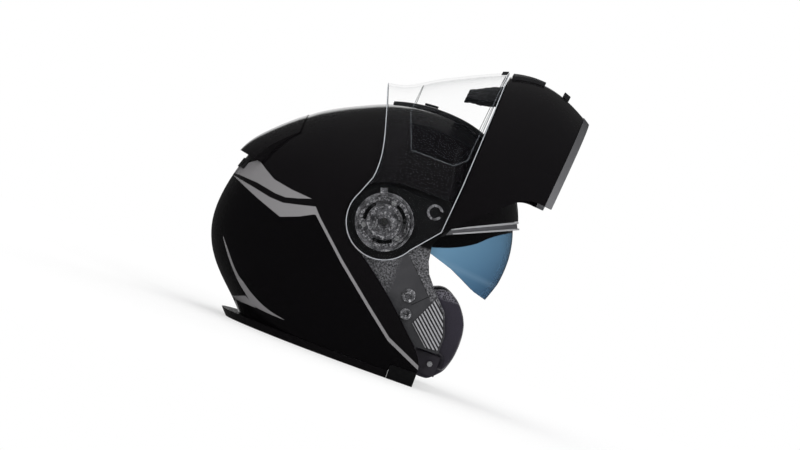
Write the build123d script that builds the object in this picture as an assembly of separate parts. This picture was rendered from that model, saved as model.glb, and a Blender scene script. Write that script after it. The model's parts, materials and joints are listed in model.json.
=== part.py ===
from build123d import *

import functools
import math
import os

os.makedirs("parts", exist_ok=True)

# Driving sizes of the closed helmet, in millimetres
shell_length = 342.0
half_width = 121.0
pivot_height = 134.5
shift_forward = 3.0
open_angle = 84.0
bowl_radius = 215.0

# How the sides round off: exponent of the plan, and the angle where the flat sides begin
roundness = 2.2
flat_angle = 13.7
slice_count = 7
sliver_share = 0.001

# Walls and depths below the outer surface
shell_wall = 3.5
trim_wall = 9.0
trim_height = 7.2
trim_proud = 0.8
corner_rear = 49.9
corner_top = -120.7
plate_depth = 9.5
plate_wall = 3.0
step_depth = 12.4
step_wall = 3.0
liner_gap = 0.3
pad_wall = 8.0
head_half = 88.0
roll_top = -103.0
cheek_rear = -28.0
cheek_top = -38.0
bead_depth = 1.2
bead_proud = 0.3
cover_height = 3.0
grille_height = 1.9
boss_radius = 6.3
slot_width = 2.2

# Openings of the flank
bay_radius = 36.5
sweep_radius = 63.5
sweep_height = 38.0

# Chin bar
bar_foot_gap = 1.3
bar_seam = 1.8
bar_liner_depth = 23.0
bar_liner_rear = 113.0
deflector_depth = 10.0
deflector_wall = 1.5
button_x = 152.0
button_long = 7.5
button_wide = 17.0
button_deep = 13.0
button_travel = 3.5

# Latch of the chin bar
catch_x = 84.0
catch_z = -109.0
catch_size = 11.0
catch_depth = 18.0
catch_wall = 4.0
stud_radius = 2.5
stud_root = 8.0
hook_x = 99.0
hook_z = -100.0
hook_low = 86.2
hook_wall = 2.2

# Pivot stack, from the side plate outwards
running_gap = 0.4
fit_gap = 0.05
hair_gap = 0.2
arm_wall = 2.5
arm_radius = 34.0
ratchet_wall = 2.5
ratchet_radius = 27.0
rim_wall = 2.0
tooth_height = 2.2
tooth_orbit = 24.0
hub_bore = 10.3
hub_radius = 12.5
cap_radius = 16.5
cap_wall = 2.6
lever_wall = 1.3
lever_angle = 26.0
cam_radius = 1.4
cam_orbit = 18.5
cam_starts = (60.0, 180.0, 300.0)
visor_travel = 38.0
cam_spare = 5.0
tooth_start = 227.0
tooth_pitch = 9.5
tooth_count = 10
screw_orbit = 19.0
screw_radius = 2.3
screw_angles = (-2.0, 123.0, 243.0)
bolt_radius = 5.0
bolt_head_radius = 9.0
bolt_head_wall = 2.4
bush_radius = 8.0
nut_radius = 9.0
nut_depth = 3.4

# Lenses
lens_wall = 2.2
insert_wall = 0.8
shade_pivot = 20.0
shade_radius = 102.5
shade_half = 106.8
shade_wall = 2.2
shade_arm = 9.0
shade_clearance = 1.0
pin_radius = 3.0

# Small controls
slider_size = 6.5
slider_height = 2.4
rail_x = 12.0
rail_z = -117.0
rail_length = 44.0
rail_width = 11.0
rail_height = 1.0

# Chin strap
strap_x = -2.0
strap_width = 24.0
strap_wall = 1.8
buckle_half = 14.6
buckle_wall = 1.5
buckle_height = 9.0
buckle_pin_radius = 1.5

# Side outlines from the pivot: angle in degrees and radius as a share of the length
outline_shares = (
    (20, 0.3699), (35, 0.3699), (50, 0.3655), (65, 0.3553), (80, 0.3406),
    (95, 0.3310), (110, 0.3266), (125, 0.3319), (140, 0.3538), (150, 0.3728),
    (160, 0.3947), (170, 0.4152), (180, 0.4357), (190, 0.4591), (200, 0.4795),
    (208, 0.4839), (218, 0.4766), (228, 0.4722), (240, 0.5029), (255, 0.5848),
    (270, 0.6345), (290, 0.6579), (305, 0.6491), (318, 0.6316), (327, 0.6126),
    (336, 0.5848), (345, 0.5336), (355, 0.4620), (368, 0.4020),
)
lens_outline_shares = (
    (20, 0.3827), (35, 0.4000), (50, 0.4250), (65, 0.4250), (80, 0.4050),
    (95, 0.3900), (110, 0.3880), (125, 0.3977), (140, 0.4152), (155, 0.4386),
    (170, 0.4678), (185, 0.4912), (200, 0.5088), (215, 0.5263), (230, 0.5497),
    (245, 0.5848), (260, 0.6199), (275, 0.6433), (290, 0.6637), (305, 0.6579),
    (318, 0.6433), (327, 0.6228), (336, 0.5965), (345, 0.5453), (355, 0.4737),
    (368, 0.4111),
)
head_outline_shares = (
    (8, 0.3158), (26, 0.2982), (45, 0.2807), (60, 0.2632), (75, 0.2515),
    (90, 0.2485), (105, 0.2515), (120, 0.2661), (135, 0.2895), (150, 0.3216),
    (165, 0.3480), (180, 0.3655), (195, 0.3801), (210, 0.3830), (225, 0.3860),
    (240, 0.4386), (255, 0.5409), (270, 0.6287), (290, 0.6287), (310, 0.5556),
    (330, 0.4386), (350, 0.3509),
)
trim_shares = (
    (20, 0.3699), (35, 0.3699), (50, 0.3655), (65, 0.3553), (80, 0.3406),
    (95, 0.3310), (110, 0.3266), (125, 0.3319), (140, 0.3538), (150, 0.3728),
    (160, 0.3947), (170, 0.4152), (180, 0.4357), (190, 0.4591), (200, 0.4795),
    (208, 0.4912), (218, 0.5000), (228, 0.5073), (240, 0.5263), (255, 0.5848),
    (270, 0.6345), (290, 0.6579), (305, 0.6491), (318, 0.6316), (327, 0.6126),
    (336, 0.5848), (345, 0.5336), (355, 0.4620), (368, 0.4020),
)
spoiler_shares = (
    (20, 0.3699), (35, 0.3699), (50, 0.3655), (65, 0.3553), (80, 0.3406),
    (95, 0.3310), (110, 0.3266), (125, 0.3319), (140, 0.3538), (150, 0.3760),
    (160, 0.4050), (170, 0.4395), (180, 0.4605), (190, 0.4766), (200, 0.4795),
    (208, 0.4839), (218, 0.4766), (228, 0.4722), (240, 0.5029), (255, 0.5848),
    (270, 0.6345), (290, 0.6579), (305, 0.6491), (318, 0.6316), (327, 0.6126),
    (336, 0.5848), (345, 0.5336), (355, 0.4620), (368, 0.4020),
)

# Side view points: both coordinates as shares of the length
step_shares = (
    (-0.0327, -0.1006), (0.0351, -0.1497), (0.1035, -0.2076), (0.1690, -0.2696),
    (0.2126, -0.3187), (0.2208, -0.3538),
)
brow_high_shares = (
    (0.4094, 0.1462), (0.3611, 0.1345), (0.2164, 0.0652), (0.1754, 0.0439),
)
brow_low_shares = (
    (0.4094, 0.1170), (0.3655, 0.1094), (0.1871, 0.0322), (0.1667, 0.0234),
)
chin_top_shares = (
    (0.5848, -0.1330), (0.4971, -0.1360), (0.3363, -0.1447), (0.1754, -0.1526),
    (0.0556, -0.1550),
)
lens_top_shares = (
    (0.5848, 0.1579), (0.3450, 0.1579), (0.2944, 0.1360), (0.2281, 0.1082),
    (0.1798, 0.0906), (0.0927, 0.0789),
)
lens_low_shares = (
    (0.0409, -0.1491), (0.1754, -0.1468), (0.3363, -0.1389), (0.4971, -0.1301),
    (0.5848, -0.1272),
)
plate_front_shares = (
    (0.1813, 0.0643), (0.1520, 0.0088), (0.1418, -0.0175), (0.1477, -0.0585),
    (0.1608, -0.0906), (0.1871, -0.1228), (0.2360, -0.1754), (0.2573, -0.2339),
    (0.2573, -0.2836),
)
cheek_front_shares = (
    (0.1871, -0.1199), (0.2398, -0.1155), (0.2857, -0.1591), (0.3026, -0.1942),
    (0.3079, -0.2398), (0.3041, -0.2865), (0.2836, -0.3333), (0.2523, -0.3684),
)
grille_shares = (
    (0.1635, -0.2301), (0.2015, -0.1477), (0.2325, -0.1798), (0.2520, -0.2339),
    (0.2520, -0.2778), (0.2187, -0.2807),
)
shade_low_shares = (
    (0.4386, -0.1082), (0.3333, -0.1079), (0.2924, -0.0965), (0.2561, -0.0784),
    (0.2164, -0.0599), (0.1851, -0.0500), (0.1462, -0.0380), (0.1111, -0.0263),
)
deflector_shares = (
    (0.4830, -0.1111), (0.4269, -0.0512), (0.4035, -0.0760), (0.3743, -0.1111),
)
strap_shares = (
    (0.178, 0.40), (0.174, 0.54), (0.158, 0.66), (0.135, 0.735), (0.092, 0.80), (0.05, 0.825),
)
bar_low_shares = (
    (0.2266, -0.3538), (0.2421, -0.3693),
)

buckle_share = 0.83

far = shell_length
bar_foot = bar_foot_gap - pivot_height
deck = trim_height - pivot_height


# Shared helpers
def at_angle(radius, angle):
    return Vector(radius * math.cos(math.radians(angle)), radius * math.sin(math.radians(angle)))


def points(shares):
    return [Vector(x * shell_length, z * shell_length) for x, z in shares]


def pairs(vectors):
    return [(v.X, v.Y) for v in vectors]


def moved_in(outline, inset):
    moved = []
    for i, point in enumerate(outline):
        tangent = (outline[(i + 1) % len(outline)] - outline[i - 1]).normalized()
        moved.append(point - Vector(tangent.Y, -tangent.X) * inset)
    return moved


@functools.lru_cache(maxsize=None)
def dome(inset=0, shares=outline_shares, half=half_width, centre=0):
    """Closed body of scaled copies of one side outline, from cheek to cheek."""
    outline = [at_angle(share * shell_length, angle) for angle, share in shares]
    outline = moved_in(outline, inset)
    first = math.radians(flat_angle)
    turns = [first + (math.pi / 2 - first) * i / slice_count for i in range(slice_count + 1)]
    rows = []
    for turn in turns:
        scale = math.sin(turn) ** (2 / roundness)
        rows.append((scale, (half - inset) * max(0, math.cos(turn)) ** (2 / roundness)))
    rows = [(scale, -y) for scale, y in rows] + list(reversed(rows[:-1]))
    wires = []
    for scale, y in rows:
        ring = [Vector(centre + p.X * scale, y, p.Y * scale) for p in outline]
        wires.append(Wire([Edge.make_spline(ring, periodic=True)]))
    return Solid.make_loft(wires, ruled=False)


def turned_dome(radius, half, inset=0, centre=0):
    """The same with a round side outline."""
    shares = tuple((angle, radius / shell_length) for angle in range(0, 360, 24))
    return dome(inset, shares, half, centre)


def bowl(inset):
    return turned_dome(bowl_radius, half_width, inset)


def flat_side(half, inset=0):
    """Distance of a dome's flat side from the middle plane."""
    return (half - inset) * math.cos(math.radians(flat_angle)) ** (2 / roundness)


def polygon(corners):
    return make_face(Polyline(*corners, close=True))


def bounded(curve, corners):
    """Face between a smooth curve and straight corners."""
    edge = Spline(*curve)
    rest = Polyline(curve[-1], *corners, curve[0])
    return make_face(Wire([edge] + list(rest.edges())))


def through(face):
    """Side view face pushed through the whole width."""
    return extrude(Plane.XZ * face, far, both=True)


def side_plane(distance):
    return Plane(origin=(0, -distance, 0), x_dir=(1, 0, 0), z_dir=(0, -1, 0))


def plate(face, inner, outer):
    """Flat piece on the right side between two distances from the middle plane."""
    return extrude(side_plane(inner) * face, outer - inner)


def disc(radius, x, z, inner, outer):
    return plate(Pos(x, z) * Circle(radius), inner, outer)


def washer(radius, bore, inner, outer):
    return plate(Circle(radius) - Circle(bore), inner, outer)


def block(x0, x1, y0, y1, z0, z1):
    return Pos((x0 + x1) / 2, (y0 + y1) / 2, (z0 + z1) / 2) * Box(x1 - x0, y1 - y0, z1 - z0)


def right_of(shape):
    return shape & block(-far, far, -far, 0, -far, far)


def other_side(shape):
    return mirror(shape, about=Plane.XZ)


def both_sides(shapes):
    solids = [s for shape in shapes for s in shape.solids()]
    return solids + [other_side(s) for s in solids]


def biggest(shape):
    return max(shape.solids(), key=lambda s: s.volume)


def sound(shapes):
    """The real solids of one or more shapes, without slivers."""
    solids = [s for shape in shapes for s in shape.solids()]
    limit = max(s.volume for s in solids) * sliver_share
    return [s for s in solids if s.volume > limit]


def put(shape, name):
    """Set one node in place and write it."""
    bodies = sound(shape if isinstance(shape, list) else [shape])
    place = Pos(shift_forward, 0, pivot_height)
    bodies = [place * body for body in bodies]
    whole = bodies[0] if len(bodies) == 1 else Compound(children=bodies)
    whole.label = name
    export_step(whole, "parts/" + name + ".step")


def put_bar(shape, name):
    """The same for what rides on the chin bar, which rests swung up."""
    bodies = sound(shape if isinstance(shape, list) else [shape])
    put([body.rotate(Axis.Y, -open_angle) for body in bodies], name)


def put_pair(shape, name, placed=put):
    """A right-hand piece and its mirror image, as two nodes."""
    bodies = sound([shape])
    placed(bodies, name + "_right")
    placed([other_side(body) for body in bodies], name + "_left")


# Heights of the pivot stack
plate_out = flat_side(half_width, plate_depth)
plate_in = flat_side(half_width, plate_depth + plate_wall)
arm_low = plate_out + running_gap
arm_top = arm_low + arm_wall
ratchet_top = arm_top + ratchet_wall
lens_inner = flat_side(half_width) + running_gap + hair_gap
lens_half = lens_inner / flat_side(1) + lens_wall
lens_outer = flat_side(lens_half)
tooth_top = ratchet_top + tooth_height
hook_top = hook_low + hook_wall
lever_low = tooth_top + hair_gap
lever_top = lever_low + lever_wall
hub_top = lens_outer + running_gap

# Side view profiles, all measured from the pivot
step_curve = points(step_shares)
brow_high = pairs(points(brow_high_shares))
brow_low = pairs(points(brow_low_shares))
chin_top = pairs(points(chin_top_shares))
lens_edge = points(lens_top_shares)
lens_foot = pairs(points(lens_low_shares))
plate_front = pairs(points(plate_front_shares))
cheek_front = points(cheek_front_shares)
grille_edge = pairs(points(grille_shares))
shade_low = pairs(points(shade_low_shares))
bar_low = pairs(points(bar_low_shares))
step_foot = step_curve[-1].X


def quadrant(radius, height):
    square = polygon([(0, 0), (radius, 0), (radius, height), (0, height)])
    return Circle(radius) & square


def bay_face(gap=0):
    return Circle(bay_radius - gap) + quadrant(sweep_radius - gap, sweep_height - gap)


def front_face(gap=0):
    """All that lies in front of the stepped flank and under the brow."""
    curve = [Vector(p.X + gap, p.Y + gap) for p in step_curve]
    corners = [(curve[-1].X, -far / 2), (far, -far / 2), (far, brow_high[0][1])] + brow_high + [(0, 0)]
    return bounded(curve, corners)


def bar_face():
    curve = [Vector(p.X + bar_seam, p.Y) for p in step_curve[1:]]
    return bounded(curve, [(curve[-1].X, -far / 2), (far, -far / 2)] + chin_top)


# Root body
def outer_shell():
    whole = dome() - dome(shell_wall)
    whole = whole & block(-far, far, -far, far, deck, far)
    whole = whole - through(bay_face() + front_face())
    corner = block(corner_rear - hair_gap, far, -far, far, -far, corner_top + hair_gap)
    return biggest(whole - corner)


def flank_step():
    """Return wall that joins the shell to the recessed side plate."""
    low = [Vector(p.X - step_wall, p.Y - step_wall) for p in step_curve]
    strip = polygon(pairs(step_curve) + pairs(reversed(low)))
    rear = polygon([(0, 0), (0, far / 4), (-far / 4, far / 4), (-far / 4, -far / 8), pairs(step_curve)[0]])
    ring = (Circle(bay_radius + step_wall) - Circle(bay_radius)) & rear
    high = sweep_height + step_wall
    top = polygon([(0, sweep_height), (far / 7, sweep_height), (far / 7, high), (0, high)])
    skin = dome(shell_wall + hair_gap) - bowl(step_depth)
    skin = skin & block(-far, corner_rear - step_wall, -far, far, deck, far)
    wall = skin & through(ring + top + strip)
    return wall


def base_trim():
    outer = dome(-trim_proud, trim_shares)
    outer = outer & block(-far, corner_rear - hair_gap, -far, far, -pivot_height, deck - hair_gap)
    return biggest(outer - dome(trim_wall))


def corner_trims():
    low, high = -pivot_height, corner_top - hair_gap
    outer = dome(-trim_proud) & block(corner_rear + hair_gap, step_foot, -far, far, low, high)
    return outer - bowl(trim_wall + trim_proud)


def bay_ring(outer, inner):
    """Layer under the bay's floor, for clearing other pieces."""
    ring = dome(outer) - bowl(inner)
    return ring & through(bay_face(-step_wall - hair_gap) + front_face(-step_wall))


def shade_shell(spare):
    outer = turned_dome(shade_radius + spare, shade_half + spare, 0, shade_pivot)
    inner = turned_dome(shade_radius - spare, shade_half - spare, shade_wall, shade_pivot)
    return outer - inner


def liner_front():
    return through(
        polygon(
            [
                (far, brow_low[0][1]),
                (brow_low[1][0], brow_low[1][1]),
                (brow_low[2][0], brow_low[2][1]),
                (plate_front[1][0] - plate_wall, 0),
                (plate_front[1][0] - plate_wall, cheek_top + pad_wall / 2),
                (cheek_rear, cheek_top),
                (cheek_rear, -far),
                (far, -far),
            ]
        )
    )


def impact_liner():
    whole = dome(shell_wall + liner_gap) & block(-far, far, -far, far, roll_top + hair_gap, far)
    whole = whole - bay_ring(shell_wall - liner_gap, step_depth + liner_gap)
    whole = whole - dome(0, head_outline_shares, head_half)
    sector = polygon(
        [(-shade_arm / 2, -shade_arm), (shade_pivot, -shade_arm * 1.3), (far, -far / 2), (far, far),
         (shade_pivot * 1.6, far), (-shade_arm / 2, shade_arm)]
    )
    whole = whole - (shade_shell(shade_clearance) & through(sector))
    whole = whole - liner_front()
    nut = disc(nut_radius + running_gap * 2, 0, 0, plate_in - nut_depth * 2, far / 2)
    pin_start = flat_side(shade_half, shade_wall) - pin_radius
    pin = disc(pin_radius + running_gap, shade_pivot, 0, pin_start, far / 2)
    for cutter in (nut, pin):
        whole = whole - cutter - other_side(cutter)
    return biggest(whole)


def crown_pad():
    whole = dome(liner_gap, head_outline_shares, head_half) - dome(pad_wall, head_outline_shares, head_half)
    whole = whole & block(-far, far, -far, far, roll_top + hair_gap, far)
    return biggest(whole - liner_front())


def face_well():
    well = extrude(Ellipse(far * 0.4, far * 0.185), far / 2)
    return Pos(0, 0, -far / 2) * well


def cheek_pad():
    back = cheek_rear + liner_gap
    rear = [(back, -pivot_height + trim_height), (back, cheek_top - liner_gap)]
    whole = bowl(plate_depth + plate_wall + running_gap * 2) & through(bounded(cheek_front, rear))
    whole = right_of(whole - face_well())
    notch = block(-far, catch_x + catch_size, -far, far, -far, catch_z + catch_size)
    notch = notch & block(catch_x - catch_size * 1.6, far, -far, far, -far, far)
    whole = whole - (notch - bowl(catch_depth + catch_wall + running_gap))
    return biggest(whole)


def neck_roll():
    whole = dome(shell_wall + liner_gap) & block(-far, cheek_rear, -far, far, deck + hair_gap, roll_top)
    well = Pos(-far * 0.006, 0, -far / 2) * extrude(Ellipse(far * 0.285, far * 0.2), far)
    return biggest(whole - well)


def brow_band(low, high):
    lower = [(x, z + (zh - z) * low) for (x, z), (xh, zh) in zip(brow_low, brow_high)]
    lower = [(x + (xh - x) * low, z) for (x, z), (xh, _) in zip(lower, brow_high)]
    upper = [(x + (xh - x) * high, z + (zh - z) * high) for (x, z), (xh, zh) in zip(brow_low, brow_high)]
    return through(polygon(lower + list(reversed(upper))))


def arm_sweep():
    """Space that both arms need as they swing past the brow."""
    x, z, radius = arm_ends()[1]
    path = disc(math.hypot(x, z) + radius + running_gap, 0, 0, arm_low - running_gap, far / 2)
    return path + other_side(path)


def brow_trim():
    whole = (dome(bead_depth) - dome(shell_wall)) & brow_band(0.0, 0.96)
    return biggest(whole - arm_sweep())


def brow_beads():
    skin = dome(-bead_proud) - dome(bead_depth - hair_gap)
    return [(skin & brow_band(low, high)) - arm_sweep() for low, high in ((0.0, 0.2), (0.72, 0.96))]


def crown_vent_cover():
    length = far * 0.14
    wide = far * 0.056
    middle = far * 0.05
    tail = middle - length
    waist = middle - length / 2
    neck = middle + length / 2
    tip = middle + length
    plan = Spline((tail, -wide * 0.4), (waist, -wide * 0.85), (neck, -wide))
    ends = Polyline(plan @ 1, (tip, -wide * 0.45), (tip, wide * 0.45), (neck, wide))
    back = Spline(ends @ 1, (waist, wide * 0.85), (tail, wide * 0.4))
    close = Line(back @ 1, plan @ 0)
    face = make_face([plan, *ends.edges(), back, close])
    whole = (dome(-cover_height) - dome(-hair_gap)) & extrude(face, far)
    for share in (0.18, 0.42, 0.66):
        x = middle + length * share
        whole = whole - block(x, x + slot_width, -wide * 0.55, wide * 0.55, 0, far)
    return biggest(whole)


def crown_slider():
    x = far * 0.012
    knob = block(x - slider_size, x + slider_size, -slider_size, slider_size, 0, far)
    whole = (dome(-cover_height - slider_height) - dome(-cover_height - running_gap * 1.5)) & knob
    return biggest(whole)


def rear_spoiler():
    skin = dome(0, spoiler_shares) - dome(-hair_gap)
    edge = polygon(
        [
            (-far, far * 0.085), (-far * 0.44, far * 0.05), (-far * 0.36, far * 0.035),
            (0, far * 0.12), (-far * 0.2, far * 0.4), (-far, far * 0.4),
        ]
    )
    return biggest(skin & through(edge) & block(-far, -far * 0.3, -far * 0.19, far * 0.19, 0, far))


def rear_vent_insert():
    skin = dome(-trim_proud * 1.4) - dome(-hair_gap)
    whole = skin & block(-far, -far * 0.3, -far * 0.13, far * 0.13, far * 0.006, far * 0.034)
    for i in range(-3, 4):
        y = far * 0.034 * i
        whole = whole - block(-far, 0, y - slot_width, y + slot_width, far * 0.013, far * 0.027)
    return biggest(whole)


def side_plate():
    area = (bay_face(liner_gap) + front_face(liner_gap)) & polygon(
        [(-far / 4, -far / 8), (step_curve[0].X, step_curve[0].Y), (step_foot, -far / 2)]
        + [(step_foot, bar_low[0][1] + liner_gap), (catch_x - catch_size * 1.6, catch_z + catch_size)]
        + [(plate_front[-1][0], catch_z + catch_size)]
        + list(reversed(plate_front))
        + [(far * 0.16, far / 8), (-far / 4, far / 8)]
    )
    whole = (bowl(plate_depth) - bowl(plate_depth + plate_wall)) & through(area)
    whole = biggest(right_of(whole & block(-far, far, -far, far, corner_top + hair_gap, far)))
    whole = whole - disc(bush_radius + fit_gap, 0, 0, 0, far)
    for x, z, radius in boss_places():
        whole = whole - disc(radius + fit_gap, x, z, 0, far)
    return biggest(whole)


def boss_places():
    return [
        (far * 0.1287, -far * 0.1629, boss_radius),
        (far * 0.138, -far * 0.2129, boss_radius * 0.83),
    ]


def plate_bosses():
    out = []
    for x, z, radius in boss_places():
        top = plate_out - hair_gap / 2 if radius == boss_radius else plate_out - boss_radius / 2
        ring = disc(radius, x, z, top - boss_radius * 0.68, top)
        ring = ring - disc(radius * 0.62, x, z, top - slot_width, far)
        slot = plate(Pos(x, z) * Rectangle(radius, radius / 5), top - slot_width * 1.6, far)
        out.append(ring - slot)
    return both_sides(out)


def side_grille():
    skin = right_of(bowl(plate_depth - grille_height) - bowl(plate_depth - hair_gap))
    edge = polygon(grille_edge)
    centre = edge.center()
    inner = Pos(centre.X, centre.Y) * (Pos(-centre.X, -centre.Y) * edge).scale(0.84)
    pitch = far * 0.0088
    slant = Pos(centre.X, centre.Y) * Rot(0, 0, -42)
    ribs = [slant * Pos(0, pitch * (i + 0.5)) * Rectangle(far / 4, pitch / 2) for i in range(-7, 7)]
    face = (edge - inner) + [rib & edge for rib in ribs]
    return biggest(skin & through(face))


def latch_bracket():
    skin = bowl(catch_depth) - bowl(catch_depth + catch_wall)
    area = polygon(
        [
            (catch_x - catch_size * 1.5, catch_z - catch_size),
            (catch_x + catch_size * 0.7, catch_z - catch_size),
            (catch_x + catch_size * 0.7, catch_z + catch_size * 0.8),
            (catch_x - catch_size * 1.5, catch_z + catch_size * 0.8),
        ]
    )
    whole = right_of(skin & through(area))
    return biggest(whole - disc(stud_radius + fit_gap, catch_x, catch_z, 0, far))


def latch_studs():
    stud = disc(stud_radius, catch_x, catch_z, hook_low - stud_root, hook_top + hair_gap)
    return both_sides([stud])


def pivot_bolts():
    bolt = disc(bolt_radius, 0, 0, plate_in - nut_depth, arm_top + hair_gap)
    head = disc(bolt_head_radius, 0, 0, arm_top + hair_gap, arm_top + hair_gap + bolt_head_wall)
    key = plate(RegularPolygon(bolt_radius * 0.7, 6), arm_top + bolt_head_wall * 0.5, far / 2)
    return both_sides([bolt + head - key])


def pivot_nuts():
    face = RegularPolygon(nut_radius, 6) - Circle(bolt_radius + fit_gap)
    return both_sides([plate(face, plate_in - nut_depth, plate_in - fit_gap)])


def pivot_bushes():
    return both_sides([washer(bush_radius, bolt_radius + fit_gap, plate_in, arm_top + fit_gap)])


def shade_pins():
    inner = flat_side(shade_half, shade_wall)
    pin = disc(pin_radius, shade_pivot, 0, inner - pin_radius / 2, plate_in - fit_gap)
    return both_sides([pin])


def strap(side):
    """Webbing that hangs inside the cavity, from the cheek towards the buckle."""
    path = list(strap_shares) + [(side, buckle_share)]
    outer = [Vector(y * far, -z * pivot_height - far * 0.03) for y, z in path]
    inner = []
    for i, p in enumerate(outer):
        nxt = outer[min(i + 1, len(outer) - 1)]
        prv = outer[max(i - 1, 0)]
        t = (nxt - prv).normalized()
        inner.append(p + Vector(t.Y, -t.X) * strap_wall)
    top = Line(inner[0], outer[0])
    face = make_face([Spline(*outer), Line(outer[-1], inner[-1]), Spline(*reversed(inner)), top])
    band = extrude(Plane.YZ * face, strap_width)
    return Pos(strap_x, 0, 0) * band


def rail_face(length, height):
    return Pos(rail_x, rail_z) * SlotOverall(length, height)


def slider_rail():
    skin = dome(-rail_height) - dome(-hair_gap)
    return biggest(other_side(right_of(skin & through(rail_face(rail_length, rail_width)))))


def shade_slider():
    skin = dome(-rail_height - slider_height * 1.4) - dome(-rail_height - running_gap * 2)
    knob = Pos(rail_x - rail_length * 0.22, rail_z) * Rectangle(slider_size * 1.4, rail_width * 0.7)
    return biggest(other_side(right_of(skin & through(knob))))


# Chin bar body
def chin_bar_shell():
    whole = (dome() - dome(shell_wall)) & through(bar_face())
    whole = whole & block(-far, far, -far, far, bar_low[1][1] + hair_gap, far)
    for i in (-1, 0, 1):
        y = far * 0.042 * i
        whole = whole - block(far / 3, far, y - far * 0.013, y + far * 0.013, -far * 0.21, -far * 0.175)
    return biggest(whole)


def chin_bar_liner():
    whole = dome(shell_wall + liner_gap) - dome(bar_liner_depth)
    whole = whole & block(bar_liner_rear, far, -far, far, bar_low[1][1] + hair_gap, -far * 0.17)
    return biggest(whole - button_room(0, bar_foot + button_deep))


def bar_base_trim():
    rear, top = bar_low[0][0], bar_low[1][1]
    area = polygon([(rear, bar_foot), (rear, top), (far, top), (far, bar_foot)])
    whole = (dome(-trim_proud) - dome(trim_wall * 1.6)) & through(area)
    return biggest(whole - button_room(running_gap, far))


def button_room(gap, top):
    """Box round the release button, wider than it by a gap."""
    long = button_long + gap
    wide = button_wide + gap
    return block(button_x - long, button_x + long, -wide, wide, -far, top)


def release_button():
    room = button_room(-running_gap, bar_foot + button_deep - button_travel - running_gap * 2)
    return room & block(-far, far, -far, far, bar_foot + hair_gap, far)


def nose_vent_cover():
    skin = dome(-cover_height - hair_gap) - dome(-hair_gap)
    wide = far * 0.1
    top = -far * 0.1415
    low = -far * 0.232
    face = Plane.YZ * polygon([(-wide, top), (wide, top), (wide * 0.72, low), (-wide * 0.72, low)])
    whole = skin & extrude(face, far)
    for i in (-1, 0, 1):
        y = far * 0.042 * i
        whole = whole - block(far / 3, far, y - far * 0.016, y + far * 0.016, -far * 0.205, -far * 0.18)
    return biggest(whole)


def nose_slider():
    skin = dome(-slider_height * 2.2) - dome(-running_gap * 1.5)
    knob = block(far / 3, far, -far * 0.026, far * 0.026, -far * 0.311, -far * 0.292)
    return biggest(skin & knob)


def breath_deflector():
    skin = dome(deflector_depth) - dome(deflector_depth + deflector_wall)
    wide = far * 0.17
    top = -far * 0.051
    low = -far * 0.169
    bend = low + far * 0.06
    half = [(wide, low), (wide, bend), (wide * 0.8, top)]
    face = Plane.YZ * polygon(half + [(-y, z) for y, z in reversed(half)])
    return biggest(skin & extrude(face, far))


def visor_seal():
    upper = [(x, z + hair_gap) for x, z in chin_top[:-1]]
    lower = [(x, z - far * 0.014) for x, z in chin_top[:-1]]
    skin = dome(shell_wall + liner_gap) - dome(shell_wall * 2.2)
    band = through(polygon(upper + list(reversed(lower))))
    return biggest(skin & band & block(far * 0.22, far, -far, far, -far, far))


def arm_ends():
    """Rounded corners of an arm: two places and their radii."""
    return [
        (0, 0, arm_radius),
        (far * 0.0885, -far * 0.1667, far * 0.0165),
        (far * 0.0468, -far * 0.1345, far * 0.0146),
    ]


def arm_face():
    edges = [e for x, z, r in arm_ends() for e in (Pos(x, z) * Circle(r)).edges()]
    return make_hull(edges)


def chin_arm():
    return plate(arm_face() - Circle(bush_radius + fit_gap), arm_low, arm_top)


def arc_slot(radius, width, start, span):
    edge = CenterArc((0, 0), radius, start, span)
    ends = [Pos(edge @ i) * Circle(width / 2) for i in (0, 1)]
    ring = Circle(radius + width / 2) - Circle(radius - width / 2)
    big = radius * 4
    wedge = polygon([(0, 0)] + [pairs([at_angle(big, start + span * i / 4)])[0] for i in range(5)])
    return (ring & wedge) + ends


def ratchet_plate():
    """Ratchet of the visor: slotted base, toothed arc, rim and hub in one moulding."""
    base = Circle(ratchet_radius) - Circle(hub_bore)
    for start in cam_starts:
        span = visor_travel + cam_spare * 2
        base = base - arc_slot(cam_orbit, cam_radius * 2 + running_gap, start - cam_spare, span)
    for angle in screw_angles:
        base = base - Pos(at_angle(screw_orbit, angle)) * Circle(screw_radius * 0.55)
    whole = plate(base, arm_top, ratchet_top)
    whole = whole + washer(ratchet_radius, ratchet_radius - rim_wall, ratchet_top, tooth_top)
    whole = whole + washer(hub_radius, hub_bore, ratchet_top, hub_top)
    arc = Circle(tooth_orbit) - Circle(tooth_orbit - rim_wall)
    arc = arc & polygon([(0, 0), (far / 9, -far / 9), (-far / 9, -far / 9)])
    for i in range(tooth_count):
        place = at_angle(tooth_orbit, tooth_start + tooth_pitch * i)
        arc = arc - Pos(place) * Circle(rim_wall * 0.42)
    return biggest(whole + plate(arc, ratchet_top, tooth_top))


def ratchet_screws():
    out = []
    for angle in screw_angles:
        p = at_angle(screw_orbit, angle)
        head = disc(screw_radius, p.X, p.Y, ratchet_top, ratchet_top + screw_radius * 0.6)
        groove = Pos(p) * Rot(0, 0, angle) * Rectangle(screw_radius * 3, screw_radius * 0.35)
        slot = plate(groove, ratchet_top + screw_radius * 0.3, far)
        shank = disc(screw_radius * 0.5, p.X, p.Y, arm_top + fit_gap, ratchet_top)
        out.append(head + shank - slot)
    return both_sides(out)


def pivot_caps():
    cap = washer(cap_radius, bolt_radius * 0.7, hub_top + fit_gap, hub_top + cap_wall)
    rims = cap.edges().filter_by(GeomType.CIRCLE).group_by(Axis.Y)[0]
    return both_sides([cap.fillet(cap_wall * 0.4, rims)])


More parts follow.
